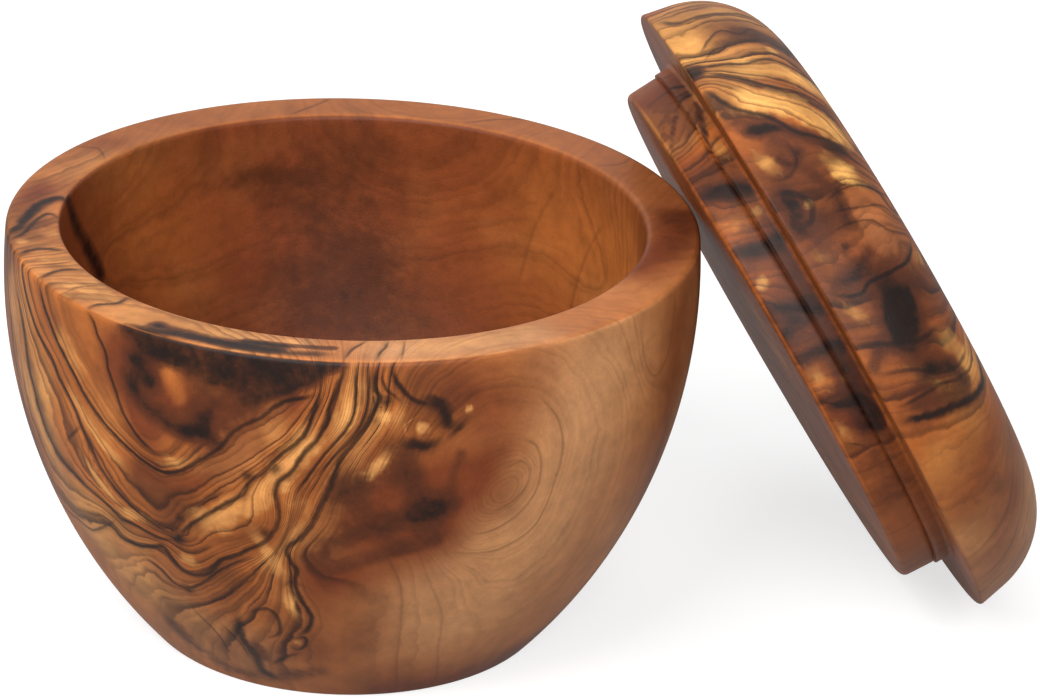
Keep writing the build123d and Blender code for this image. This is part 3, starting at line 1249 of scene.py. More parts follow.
BOWL_FRONT_LINES = on(
    OUT,
    ink(0.3, 0.85, (-45, 67.8), (-43, 66.5), (-42, 64.7), (-40, 62.5), (-39.5, 60), (-38, 57), (-37, 54.5),
        (-35.5, 52), (-33, 49.5), (-30, 48), level=1.3),
    ink(0.34, 0.95, (-59, 67.8), (-57, 65), (-55, 63), (-52, 60), (-49, 57.5), (-46, 54.5), (-42, 51),
        (-38, 48.5), (-33, 46), (-29, 45), (-26, 46), (-24, 47.3), (-22, 49), (-20, 50.5), (-18, 52.3),
        (-17, 54), (-15, 56), (-12, 57.8), (-10, 59.5), (-8, 61), (-3, 62.5), level=3.0),
    ink(0.28, 0.8, (-66, 66.5), (-63, 63), (-59, 59.5), (-54, 56.8), (-52, 54), (-50, 52.5), (-48, 50),
        (-46.5, 47), (-45, 45), (-44, 42.5), (-42.5, 40.5), (-40, 38), (-37, 36), (-33, 34.2), (-29, 33.4),
        level=5.0),
    ink(0.36, 0.9, (-28, 32.6), (-26, 35.5), (-21, 39.5), (-18, 42), (-15, 44), (-14, 46.2), (-11, 49),
        (-9, 51.6), (-7, 53.5), (-5, 55.5), (-4, 58), (-3, 61), (-2.5, 63.5), level=5.4),
    ink(0.3, 0.8, (-65, 60), (-63, 51), (-61, 45), (-60, 42), (-58, 40), (-55, 38), (-52, 37), (-49, 36),
        (-46, 35), (-43, 34), (-41, 32.5), (-38, 32.7), (-35, 32), (-32, 31.6), (-29, 32.4), level=6.6),
    ink(0.4, 0.9, (-43, 28.5), (-38, 28.3), (-34, 29.6), (-32, 30.2), (-30.5, 28), (-29, 26.2), (-26, 26),
        (-23, 27.4), (-20, 30.6), (-17, 32), (-15, 33.6), (-12, 35.4), (-10, 38), (-9, 41), (-9.6, 45),
        (-9, 47.3), (-7, 49), (-5, 52.5), (-3, 55), (-1.5, 58), (-1, 60.5), (0, 63.5), (1.5, 67.5),
        level=8.0),
    ink(0.3, 0.8, (-38, 26.5), (-34, 24.6), (-32.5, 22.8), (-30, 22.2), (-28, 22.8), (-24, 25.4), (-22, 27.3),
        (-18, 30.2), (-14, 32.3), level=9.3),
    ink(0.2, 0.55, (-26, 20), (-22, 21.8), (-19, 24), (-17, 26), (-15, 27.4), (-13, 30.5), (-10, 34),
        (-8, 38), (-6.5, 43), level=10.6),
    ink(0.26, 0.85, (3, 67.8), (3, 65), (3, 62), (2.6, 58.8), (1, 56), (-2, 52), (-4.5, 48), (-6, 45.5),
        level=10.4),
    ink(0.24, 0.8, (5, 67.8), (5, 65), (5, 62), (4.6, 59.5), (3, 56), (0, 52.5), (-3, 48.5), level=11.8),
    ink(0.42, 0.9, (6.8, 67.8), (6, 66), (6, 63.8), (6.8, 62.3), (6, 60.2), (5, 58), (3, 55), (1, 52),
        (0, 49), (-1, 46), (-2.3, 43), (-3.5, 40), (-6, 36.5), (-8, 35), (-7.3, 32), (-6.4, 30.5), (-7, 28),
        (-6.2, 25), (-5, 22.6), (-4.2, 20.2), (-5.2, 17.6), (-7.5, 15.8), level=14.0),
    ink(0.26, 0.75, (7.6, 67.8), (7, 65.6), (7.6, 63.8), (9, 62.5), (10.5, 61.2)),
    ink(0.4, 0.9, (8.6, 67.8), (9, 65.3), (10, 64), (11, 62.6), (12.5, 61.5), (14.5, 61), (16.5, 60.6)),
    ink(1.0, 0.95, (12.6, 61.4), (15.6, 61.2), (17, 60), (17.4, 58), (18.2, 57), (20, 57.4)),
    ink(0.85, 0.95, (9.6, 54.6), (12, 54.5), (14, 53.9), (15.4, 54.4), (16.6, 55.6)),
    ink(0.55, 0.95, (21, 58.2), (20, 57), (18.6, 55.8), (17.6, 54.6)), ink(0.6, 0.9, (6.5, 59.5), (6, 57.6)),
    ink(0.8, 0.9, (7.8, 61.6)), ink(0.3, 0.7, (-47, 47.4), (-50, 44.8), (-52.3, 42.8)),
    ink(0.28, 0.7, (-48, 43), (-47, 39.8), (-45, 38)),
    ink(0.26, 0.65, (-70, 25), (-62, 25.6), (-58, 26), (-53, 26), (-47, 29), (-43, 31.5), level=8.4),
    ink(1.0, 0.95, (-28.2, 32.8)), ink(0.6, 0.85, (-27, 37)), ink(0.7, 0.8, (-14, 47.4)),
    ink(0.9, 0.8, (-9.6, 49.5)), ink(0.7, 0.85, (-11.6, 37.4)), ink(0.8, 0.85, (-29, 22)),
    ink(0.7, 0.85, (-19, 19), (-20, 13.9), (-19, 10.9), (-18, 8.4), (-18, 5), (-14, 2.9)),
    ink(0.35, 0.75, (-17, 19.8), (-13, 21.6), (-11, 19.9), (-11, 16.3), (-14, 14.3)),
    ink(0.3, 0.8, (-9, 15), (-6, 15.8), (-6, 13.6), (-8, 12.3), (-9.4, 13.4)),
    ink(0.4, 0.7, (-9, 27), (-8, 28), (-5, 27.4)), ink(0.35, 0.7, (-15, 7.4), (-11, 10.1), (-7, 12)),
    ink(0.22, 0.55, (-24, 16), (-21, 12), (-20, 8)), ink(0.22, 0.5, (-30, 18), (-26, 13), (-25, 8)),
)
BOWL_FRONT_TONES = on(
    OUT,
    heart(6.5, 1.0, (-34, 62), (-27, 58), (-20, 57), (-12, 63)), heart(4.5, 0.55, (-30, 50), (-22, 52)),
    heart(3.5, 0.6, (-20, 53), (-14, 57), (-8, 61.5)), heart(3.0, 0.5, (-38, 64), (-37, 58), (-33, 52.5)),
    heart(1.5, -0.6, (-28, 63), (-25.5, 58.5)), heart(1.3, -0.5, (-21, 62.5), (-19, 61)),
    heart(2.4, 0.7, (-34, 44.4), (-27, 42.6), (-21, 46), (-13, 53)),
    heart(2.6, -0.5, (-27, 50.5), (-24, 50.8)), heart(2.4, -0.45, (-15, 60), (-13, 57.5)),
    heart(8.0, 0.9, (4, 46), (10, 47), (17, 47)), heart(5.0, 0.75, (12, 40), (4, 37), (-2, 33)),
    heart(6.0, 0.6, (-2, 27), (7, 31), (18, 36)), heart(7.0, 0.35, (0, 14), (6, 18)),
    heart(5.0, 0.35, (24, 46), (28, 43)), heart(5.0, 0.2, (-44, 22), (-36, 16), (-30, 10)),
    heart(5.0, 0.3, (12, 66), (22, 64), (30, 62)), heart(5.5, 0.55, (19, 62), (25, 58), (27, 53)),
    # Painted shade: the first heart patch here darkens the right side towards its edge, and the second
    # darkens the low side next to the foot.
    heart(9.0, 0.6, (88, 40), (92, 62), (84, 12)), heart(9.0, 0.9, (16, 1), (36, 0), (56, 0), (74, 4)),
    # Painted shade: darkens the right side of the outside towards its edge.
    heart(7.0, 0.6, (69, 62), (69, 46), (72, 30)),
    pale(8.0, 0.6, (-40, 20), (-30, 12), (-22, 10)), pale(15.0, 1.1, (24, 26), (36, 36), (42, 48), (46, 60)),
    pale(14.0, 0.4, (20, 16), (34, 12), (60, 22)), pale(12.0, 0.5, (74, 30), (74, 60)),
    pale(5.0, 0.7, (-72, 62), (-68, 50), (-60, 38), (-55, 26)), pale(5.0, 0.35, (-48, 24), (-42, 20)),
    lively(7.0, -0.7, (5, 42), (14, 46)),
    lively(15.0, 1.2, (-70, 58), (-56, 40), (-40, 34), (-24, 36), (-10, 46), (2, 64)),
    lively(9.0, 0.8, (-12, 28), (-12, 14)), lively(9.0, 0.4, (-36, 22), (-28, 12)),
    lively(7.0, -0.7, (-26, 62), (-18, 60)),
    smoke(2.4, 0.35, (-13, 60), (-17, 55.5)),
    smoke(2.1, 2.0, (-35, 68.8), (-29, 67.8), (-22, 67.4), (-14, 67.2), (-7, 67.4), (-1, 68.4)),
    smoke(2.6, 1.7, (-30, 67), (-24, 65.8), (-18, 65.2), (-11, 65.8), (-5, 67)),
    smoke(2.2, 0.55, (-9, 64), (-5, 65)), smoke(6.0, 0.42, (-33, 62), (-24, 58), (-14, 61)),
    smoke(1.6, 0.7, (-35, 59.5), (-33, 56.5), (-29, 54.4), (-25, 53.4), (-21, 54)),
    smoke(1.7, 0.55, (-22, 64), (-19, 60), (-21, 56.5)), smoke(1.7, 0.6, (-34, 63), (-31, 60)),
    smoke(2.2, 0.5, (-12, 64.5), (-8, 63.5), (-14, 62)), smoke(1.5, 0.6, (-19, 52)),
    smoke(1.7, -0.5, (-27.5, 62), (-26, 59)), smoke(1.2, -0.4, (-21, 62.5), (-19, 61)),
    smoke(2.6, 0.55, (10, 53.5), (13, 47.2), (15, 43.8)), smoke(3.2, 0.45, (2, 47), (8, 48.5)),
    smoke(2.3, 0.5, (18, 42.4), (10, 40.5), (3, 38.2), (-1, 35.7), (-4, 32.9)),
    smoke(1.8, 0.4, (17, 36.8), (10, 34.9), (3, 32.4), (-3, 29.9)),
    smoke(1.3, 0.35, (20, 52), (19, 47), (20, 43)), smoke(5.5, 0.42, (3, 43), (14, 41)),
    smoke(1.6, 0.5, (-17, 12), (-16, 9)), smoke(3.4, 0.45, (-38, 9), (-34, 5), (-26, 3), (-14, 4)),
    smoke(3.0, 0.25, (-45, 17), (-39, 12)), smoke(2.4, 0.4, (-9, 6), (-4, 7)),
    # Painted shade: the second smoke patch here darkens the low side next to the foot.
    smoke(2.0, 0.25, (14, 64), (22, 62)), smoke(5.0, 0.3, (34, 2), (56, 4), (72, 8)),
    gold(1.9, 0.75, (-24, 36.5), (-18, 39.8), (-12, 45), (-7, 51), (-3, 57)),
    gold(1.3, 1.0, (-6.2, 44.5), (-5.4, 43)), gold(1.4, 0.9, (2, 63), (1.6, 59), (-0.5, 56)),
    gold(1.1, 0.8, (-19, 41), (-15, 41.8)), gold(0.9, 0.7, (-29, 46.8), (-24, 48)),
    gold(0.9, 0.9, (-42, 34), (-38, 34.4), (-34, 34.6)), gold(0.8, 1.0, (-8, 26), (-8, 22.4), (-7, 20.4)),
    gold(1.2, 0.6, (-27, 28.7)), gold(0.9, 0.8, (2, 47.8), (6, 50), (8, 52.6), (9, 53.6)),
    gold(0.9, 1.0, (7.4, 59)), gold(0.9, 0.8, (13.4, 57)), gold(0.6, 0.9, (21, 59.4)),
    gold(0.8, 0.75, (-50, 53.6), (-46, 50), (-42, 46.4), (-37, 43.6)),
    gold(0.8, 0.75, (-48, 41.6), (-44, 38), (-40, 35.6)), gold(1.5, 0.6, (-72, 62), (-67, 50), (-59, 36.6)),
    gold(1.6, 0.5, (-53, 62), (-49, 60), (-45, 56)), gold(1.0, 0.6, (-14, 38), (-11, 33), (-9, 29)),
    gold(1.0, 0.6, (4, 66), (4, 62)), gold(0.8, 0.7, (10, 60.5), (9, 57)),
    gold(1.2, 0.5, (-13, 17.5), (-12, 18)), gold(0.7, 0.9, (-7.4, 14.2)),
)
BOWL_RIGHT = on(
    OUT,
    flow(25.5, (29, 42.5), (30, 44.5)),
    ink(0.2, 0.22, (26, 40.6), (29, 41.3), (32, 43.6), (32.6, 47), (30.6, 49), (28, 48), level=24.0),
    ink(0.2, 0.25, (24, 36.6), (28, 37.2), (32, 39.5), (34.4, 43.1), (34.6, 47.5), (33, 51.4), (30, 53),
        level=22.2),
    ink(0.24, 0.28, (21, 33.6), (26, 32.8), (30, 33), (35, 35.3), (37, 39.2), (38, 44), (38.6, 49.3),
        (37, 54.8), (33, 59.8), level=20.4),
    flow(18.6, (29, 26.5), (37, 27.6), (42, 33.2), (44, 40.2), (44.6, 49.4), (42, 57), (38, 63)),
    flow(17.2, (33, 15.5), (42, 17.5), (50, 24.6), (53, 35.3), (54, 46.2), (51, 56), (45, 64.3)),
    flow(15.8, (49, 7.3), (56, 12), (62, 20.3), (64, 31.2), (64, 42.4), (61, 50)),
    flow(14.6, (70, 66), (76, 52), (78, 36), (74, 18), (68, 4)),
    ink(0.22, 0.22, (55, 66.5), (57, 59), (61, 55), (65, 58), (67, 66), level=14.9),
    flow(14.9, (1.5, 25), (2, 18), (2, 10), (2, 2)),
    ink(0.24, 0.2, (9, 34), (12, 27.5), (13, 20), (14, 10), (16, 3), level=15.6),
    ink(0.24, 0.18, (14, 35), (17, 28.5), (21, 20.4), (23, 11.5), (27, 2.5), level=16.5),
    flow(17.2, (18, 34), (23, 27.7), (27, 20), (33, 9.4), (39, 1)),
    flow(12.8, (92, 66), (96, 50), (95, 30), (90, 8)),
)
BOWL_BACK = on(
    OUT,
    ink(0.24, 0.35, (112, 67), (116, 50), (114, 28), (108, 6), level=11.2),
    ink(0.32, 0.7, (128, 67), (131, 54), (138, 40), (150, 26), (166, 17), (184, 24), (198, 38), (206, 54),
        (210, 67), level=9.0),
    ink(0.34, 0.8, (140, 67), (143, 55), (150, 42), (161, 33), (174, 33), (186, 43), (194, 56), (197, 67),
        level=7.0),
    ink(0.3, 0.75, (150, 67), (152, 58), (158, 49), (168, 44), (178, 49), (184, 58), (186, 67), level=5.0),
    flow(3.2, (164, 67), (166, 58), (172, 58), (174, 67)),
    flow(10.8, (122, 4), (150, 8), (180, 7), (205, 12), (218, 30), (224, 50), (226, 67)),
    ink(0.3, 0.6, (238, 67), (240, 50), (236, 32), (228, 14), (220, 3), level=12.2),
    ink(0.24, 0.5, (254, 67), (257, 50), (254, 34), (248, 18), (242, 4), level=11.2),
    ink(0.32, 0.7, (268, 67), (272, 52), (270, 38), (264, 22), (258, 6), level=9.8),
    flow(8.4, (281, 67), (285, 52), (286, 38), (282, 20), (276, 5)),
    heart(10.0, 0.8, (168, 62), (166, 48)),
    pale(16.0, 0.5, (118, 40), (112, 16)), pale(12.0, 0.5, (222, 40), (216, 12)),
    lively(26.0, 0.9, (150, 40), (190, 40)), lively(18.0, 0.8, (250, 50), (262, 30), (275, 55)),
    smoke(3.0, 0.6, (160, 66), (170, 62), (178, 66)), smoke(2.0, 0.5, (156, 52), (166, 46), (176, 50)),
    gold(1.5, 0.7, (146, 55), (154, 40), (166, 36)), gold(1.3, 0.7, (202, 60), (196, 44), (188, 34)),
    gold(1.4, 0.6, (262, 60), (264, 44), (259, 26)),
)
BOWL_RIM = on(
    RIM,
    ink(0.8, 0.97, (-78.6, 55.6), (-82, 53), (-88, 51.4), (-93, 50.2), (-96, 48), (-97, 46)),
    ink(0.42, 0.85, (-76, 55.4), (-79, 52.4), (-84, 50.6), (-88, 48.6), (-86, 46.6)),
    ink(0.5, 0.85, (-69, 55.4), (-71, 53), (-71.6, 51), (-70.6, 48.8), (-69, 46.6)),
    ink(0.42, 0.8, (-58.6, 55.4), (-60.6, 52.6), (-61, 50), (-60, 48), (-59, 46.6)),
    ink(0.42, 0.9, (-45, 55.4), (-45, 52.6), (-43.4, 50.4), (-44, 48), (-44, 46.6)),
    ink(0.22, 0.5, (-65, 54.6), (-64, 50), (-64.4, 47)), ink(0.2, 0.45, (-52, 54.6), (-53, 51), (-51, 47)),
    ink(0.8, 0.9, (-36, 55.2), (-31, 54.2), (-26, 53.2), (-20, 53), (-14, 53.2), (-8, 53), (-1, 52.6)),
    ink(0.3, 0.6, (-20, 53.8), (-12, 54), (-4, 53.6)),
    ink(0.26, 0.75, (5.4, 47), (3, 49.7), (2, 51.4), (1, 54.8)),
    ink(0.26, 0.75, (9, 47), (8, 50), (7, 51.7), (6, 54.8)), ink(0.2, 0.5, (12, 47), (11, 51), (10, 54.8)),
    ink(0.24, 0.4, (150, 55), (156, 51), (160, 47)), ink(0.24, 0.4, (186, 55), (190, 51), (196, 47)),
    ink(0.24, 0.35, (126, 55), (124, 51), (126, 47)), ink(0.24, 0.35, (240, 55), (238, 51), (242, 47)),
    heart(1.6, 0.6, (-63, 51)), heart(2.0, 0.5, (-83, 49.4)),
    # Painted shadow: the second heart patch here darkens the rim under the leaning lid.
    heart(4.0, 0.45, (-96, 52), (-110, 51), (-124, 51)), heart(6.0, 0.9, (96, 52), (84, 50), (72, 47)),
    heart(9.0, 0.4, (110, 51), (180, 51), (230, 51)), heart(3.0, 0.5, (-90, 53), (-100, 51)),
    # Painted highlight and pale wood: the first pale patch here brightens the front of the rim.
    pale(5.0, 0.8, (8, 51), (20, 51), (34, 51)), pale(2.0, 0.6, (-20, 50), (-6, 49)),
    lively(4.0, 0.4, (-98, 51), (-118, 51)), lively(9.0, 0.55, (-86, 51), (-50, 51), (-10, 51)),
    smoke(1.2, 0.6, (-84, 52.6), (-91, 50.4), (-96, 47.6)),
    smoke(1.5, 1.0, (-32, 52.4), (-26, 52.4), (-18, 52.8), (-10, 52.6)),
    # Painted shadow: the second smoke patch here darkens the rim further under the leaning lid.
    smoke(0.8, 0.9, (-16, 50.8), (-8, 50.6), (-1, 50.4)), smoke(4.0, 0.4, (98, 52), (84, 51)),
    gold(1.3, 1.0, (-79, 48.6), (-76, 47.6)), gold(0.9, 0.8, (-75, 53)),
    gold(1.2, 0.9, (-67.4, 53.2), (-66, 49.6)), gold(1.0, 0.7, (-42, 54), (-37, 51.4)),
    gold(3.0, 0.35, (-76, 51), (-60, 51), (-44, 51), (-32, 50)),
    gold(1.1, 0.85, (-57, 52.3), (-52, 51), (-47.4, 50)), gold(0.8, 0.7, (-26, 50.4), (-20, 51)),
    # Painted highlight: the second gold streak here is a bright sheen along the front of the rim.
    gold(0.6, 0.7, (-18, 54.4), (-13, 54.2)), gold(1.5, 0.6, (12, 50.6), (22, 50.4), (36, 50)),
    gold(1.2, 0.5, (-58, 48.6), (-40, 49.4), (-20, 49.8), (-4, 49.6)),
)
BOWL_INSIDE = on(
    INSIDE,
    ink(0.3, 0.55, (-84, 68), (-90, 63), (-98, 54)),
    flow(7.5, (-118, 50), (-140, 46), (-165, 51), (-190, 46), (-215, 52), (-240, 50)),
    flow(10.5, (-118, 30), (-145, 26), (-170, 32), (-195, 28), (-220, 34), (-240, 32)),
    ink(0.35, 0.2, (120, 60), (126, 52), (128, 42), (124, 34)),
    ink(0.35, 0.16, (136, 62), (142, 52), (144, 42)),
    # Painted light: the second heart patch here takes heart away to lighten the inside wall on the right,
    # where the light falls.
    heart(14.0, 0.2, (-150, 34)), heart(15.0, -0.9, (128, 52), (110, 54)),
    # Painted light: lightens the inside wall on the left, where the light falls.
    heart(12.0, -0.45, (-124, 58), (-134, 44)),
    smoke(1.4, 1.2, (-96, 69), (-98, 66.6), (-103, 61), (-109, 55.4), (-114, 49)),
    # These two broad smoke patches make the middle and bottom of the hollow's far wall darker.
    smoke(17.0, 0.45, (-172, 52), (-176, 38)), smoke(15.0, 0.22, (-178, 24), (178, 12)),
    # The first smoke patch here makes the near side of the hollow darker.
    smoke(15.0, 0.2, (20, 40), (-20, 40)), smoke(1.6, 0.25, (-144, 56), (-156, 58), (-166, 57)),
)
BOWL_FIGURE_AND_PAINTED_LIGHT = BOWL_FRONT_LINES + BOWL_FRONT_TONES + BOWL_RIGHT + BOWL_BACK + BOWL_RIM + BOWL_INSIDE

LID_DOME = on(
    DOME,
    ink(0.6, 0.85, (-9, 1), (-5, 3), (-5, 6), (-6, 11), (-8, 15), (-10, 20), level=0.5),
    ink(0.26, 0.65, (9, 3), (5, 6), (3, 8.5), (5, 11), (2, 13.3), (1, 16), level=1.6),
    ink(0.26, 0.6, (11, 3), (9, 5.4), (9, 8.5), (7, 13), (8, 15), (9, 18), (8, 22)),
    ink(0.4, 0.8, (12, 1), (14, 6), (15, 8.5), (14, 13.3), (16, 19), (17, 26), level=3.0),
    ink(0.34, 0.8, (14, 2), (18, 6), (22, 10), (24, 15), (27, 20.5), (29, 26), level=4.6),
    ink(0.4, 0.85, (18, 0.4), (24, 2.6), (27, 5.3), (30, 7.7), (33, 9.3), (35, 12.5), (38, 18), level=6.4),
    ink(0.5, 0.8, (42, 0.3), (42.5, 2), (44, 4.3), (46.5, 5.2), (49, 3.6), (48.4, 0.8)),
    ink(0.3, 0.6, (34, 7), (38, 7), (40.4, 4.6), (40, 1.4)),
    ink(0.22, 0.6, (47, 7), (46, 11), (46, 15), (48, 20), (49, 26), level=8.2),
    ink(0.22, 0.55, (49, 7), (50, 12.5), (51, 18), (54, 21), (55, 27), level=8.8),
    ink(0.2, 0.5, (52, 5.4), (52, 9.3), (53, 13.3), (56, 16), (58, 22)),
    ink(0.36, 0.9, (59, 21), (62, 16.5), (62.4, 11), (62, 7), (63, 4.4), (61, 0.8), level=10.2),
    ink(0.45, 0.75, (70, 0.4), (71, 2.6), (73, 6), (74.6, 9.3), (75, 14), level=12.0),
    ink(0.34, 0.65, (75.6, 1), (78, 6), (81, 9.3), (83, 13.3), (83, 19), level=13.0),
    ink(0.3, 0.6, (82, 1), (82.6, 4), (83, 8.5), (85, 12.5), level=13.8),
    ink(0.7, 0.98, (84, 0.3), (86, 4), (88, 9.3), (90, 14), (90.6, 18.6), (88.6, 21), (87, 26), level=14.8),
    ink(0.5, 0.85, (55, 6.4)), ink(0.6, 0.8, (46, 10.4)), ink(1.3, 0.85, (35, 12.4), (37.6, 14), (38.6, 18)),
    flow(17.0, (99, 24), (102, 16), (103, 9), (102, 1)),
    ink(0.26, 0.25, (104, 22), (109, 15.7), (114, 11), (117, 5.3), (118, 0.8), level=18.0),
    ink(0.24, 0.22, (114, 20), (121, 12), (126, 6), (128, 0.8), level=19.2),
    flow(20.4, (130, 20), (138, 12), (142, 4)), flow(21.0, (165, 18), (170, 10), (172, 2)),
    ink(0.28, 0.4, (200, 22), (204, 12), (206, 2), level=19.4),
    ink(0.3, 0.6, (222, 22), (228, 12), (230, 2), level=17.0),
    ink(0.36, 0.75, (244, 22), (250, 12), (254, 2), level=14.6),
    ink(0.3, 0.7, (266, 22), (272, 12), (276, 2), level=12.0),
    ink(0.34, 0.7, (290, 22), (296, 12), (298, 2), level=9.0),
    ink(0.36, 0.7, (314, 22), (318, 12), (320, 2), level=6.0),
    ink(0.34, 0.7, (334, 22), (337, 12), (338, 2), level=3.0),
    heart(7.0, 0.6, (44, 3), (52, 3), (60, 5), (68, 8), (80, 6)), heart(6.0, 0.4, (6, 8), (8, 18)),
    heart(7.0, 0.5, (100, 12), (104, 22)), heart(5.0, 0.35, (114, 14), (112, 20)),
    heart(4.0, 0.3, (100, 3), (106, 3)), heart(1.8, -0.6, (38, 2.4)), heart(1.8, -0.6, (46, 4.6)),
    heart(2.2, -0.6, (53, 2), (56, 4)), heart(2.4, -0.6, (62, 2), (66, 3.6)),
    heart(2.2, -0.5, (76, 3), (78, 5)), heart(7.0, 0.5, (-8, 5), (0, 12), (4, 20)),
    heart(8.0, 0.4, (110, 9), (124, 9)),
    pale(13.0, 0.8, (118, 4), (132, 9), (160, 12)), pale(5.0, 0.5, (52, 12), (58, 13)),
    pale(4.0, 0.5, (-12, 8), (-3, 12)), pale(6.0, 0.9, (116, 3), (124, 2), (134, 5)),
    lively(16.0, 0.9, (10, 12), (40, 10), (70, 12)), lively(14.0, 0.7, (300, 12), (340, 12)),
    smoke(2.6, 1.5, (70.2, 8.8)), smoke(1.7, 0.8, (73.4, 7.2)), smoke(1.5, 0.6, (68, 10.6)),
    smoke(3.6, 0.35, (66, 9), (76, 8)), smoke(1.8, 1.7, (13, 0.4)), smoke(3.0, 0.25, (98, 6), (108, 10)),
    smoke(2.4, 0.5, (27, 2), (31, 4.6), (35, 6)), smoke(2.4, 0.5, (43, 2), (47, 3), (50, 6)),
    smoke(2.6, 0.45, (54, 3), (58, 5), (61, 8)), smoke(2.0, 0.6, (36, 12), (38, 15)),
    smoke(2.8, 0.4, (62, 12), (66, 10), (66, 16)), smoke(2.5, 0.45, (84, 5), (88, 12)),
    smoke(1.0, 0.9, (43, 2.6), (46, 2.6), (48, 1.2), (50, 1.8)), smoke(0.9, 0.8, (37, 8), (39, 6), (37, 4.4)),
    smoke(1.1, 0.7, (30, 3), (31, 7), (34, 10)), smoke(1.3, 0.6, (42, 8), (47, 9.6), (52, 9)),
    smoke(1.2, 0.6, (58, 9), (60, 6), (60, 2)), smoke(1.4, 0.6, (80, 8), (82, 12), (86, 14)),
    smoke(1.3, 0.6, (72, 3), (74, 1)), smoke(4.0, 0.3, (0, 6), (4, 14)), smoke(7.0, 0.22, (50, 10), (80, 10)),
    gold(2.2, 0.25, (112, 4), (120, 3)), gold(2.0, 1.0, (15, 6), (17, 10), (18, 14), (20, 20), (21, 25)),
    gold(2.3, 0.98, (20, 4), (24, 6), (26, 10), (29, 13.5), (33, 17), (35, 21)),
    gold(1.6, 0.85, (40, 12.5), (43, 13.5), (45, 16)), gold(1.5, 0.8, (76, 13), (80, 16), (86, 16.4)),
    gold(0.9, 0.8, (78, 6), (81, 8), (85, 9)), gold(1.1, 0.7, (3, 3), (6, 3.6)), gold(0.9, 0.7, (10, 15)),
    gold(1.2, 0.7, (62, 19), (64, 22)), gold(1.0, 0.6, (35, 2), (38, 3)), gold(0.7, 0.5, (46, 4.6)),
    gold(0.8, 0.5, (54, 1.8), (55.4, 3)), gold(0.8, 0.5, (64, 2), (66.4, 3)),
)
LID_CROWN = on(
    CROWN,
    ink(0.3, 0.6, (41, 14), (43, 0), (40, -18), level=2.0),
    ink(0.36, 0.7, (35, 27), (37, 4), (33, -14), (29, -33), level=4.6),
    ink(0.36, 0.8, (27, 35), (29, 12), (24, -10), (20, -39), level=7.0),
    ink(0.3, 0.7, (19, 40), (20, 15), (15, -12), (8, -43), level=9.4),
    ink(0.36, 0.8, (10, 43), (9, 15), (6, -10), (-3, -44), level=12.0),
    ink(0.5, 0.9, (1, 44), (0, 20), (-6, -12), (-15, -41), level=14.6),
    ink(0.26, 0.4, (-11, 43), (-12, 18), (-17, -10), (-26, -35), level=17.0),
    ink(0.24, 0.3, (-24, 37), (-24, 12), (-29, -10), (-34, -24), level=19.0),
    flow(20.6, (-38, 20), (-38, 0), (-41, -10)),
    pale(16.0, 0.8, (-34, 22), (-38, -4)),
    lively(26.0, 0.9, (24, 20), (24, -20), (4, 0)),
    smoke(4.0, 0.5, (18, 10), (12, -6), (20, -20)), smoke(3.0, 0.5, (2, 24), (-2, 4)),
    gold(2.2, 0.85, (37, 18), (39, 4), (35, -12)), gold(2.0, 0.7, (23, 30), (24, 10), (19, -12)),
    gold(1.6, 0.6, (5, 34), (4, 14), (0, -12)),
)
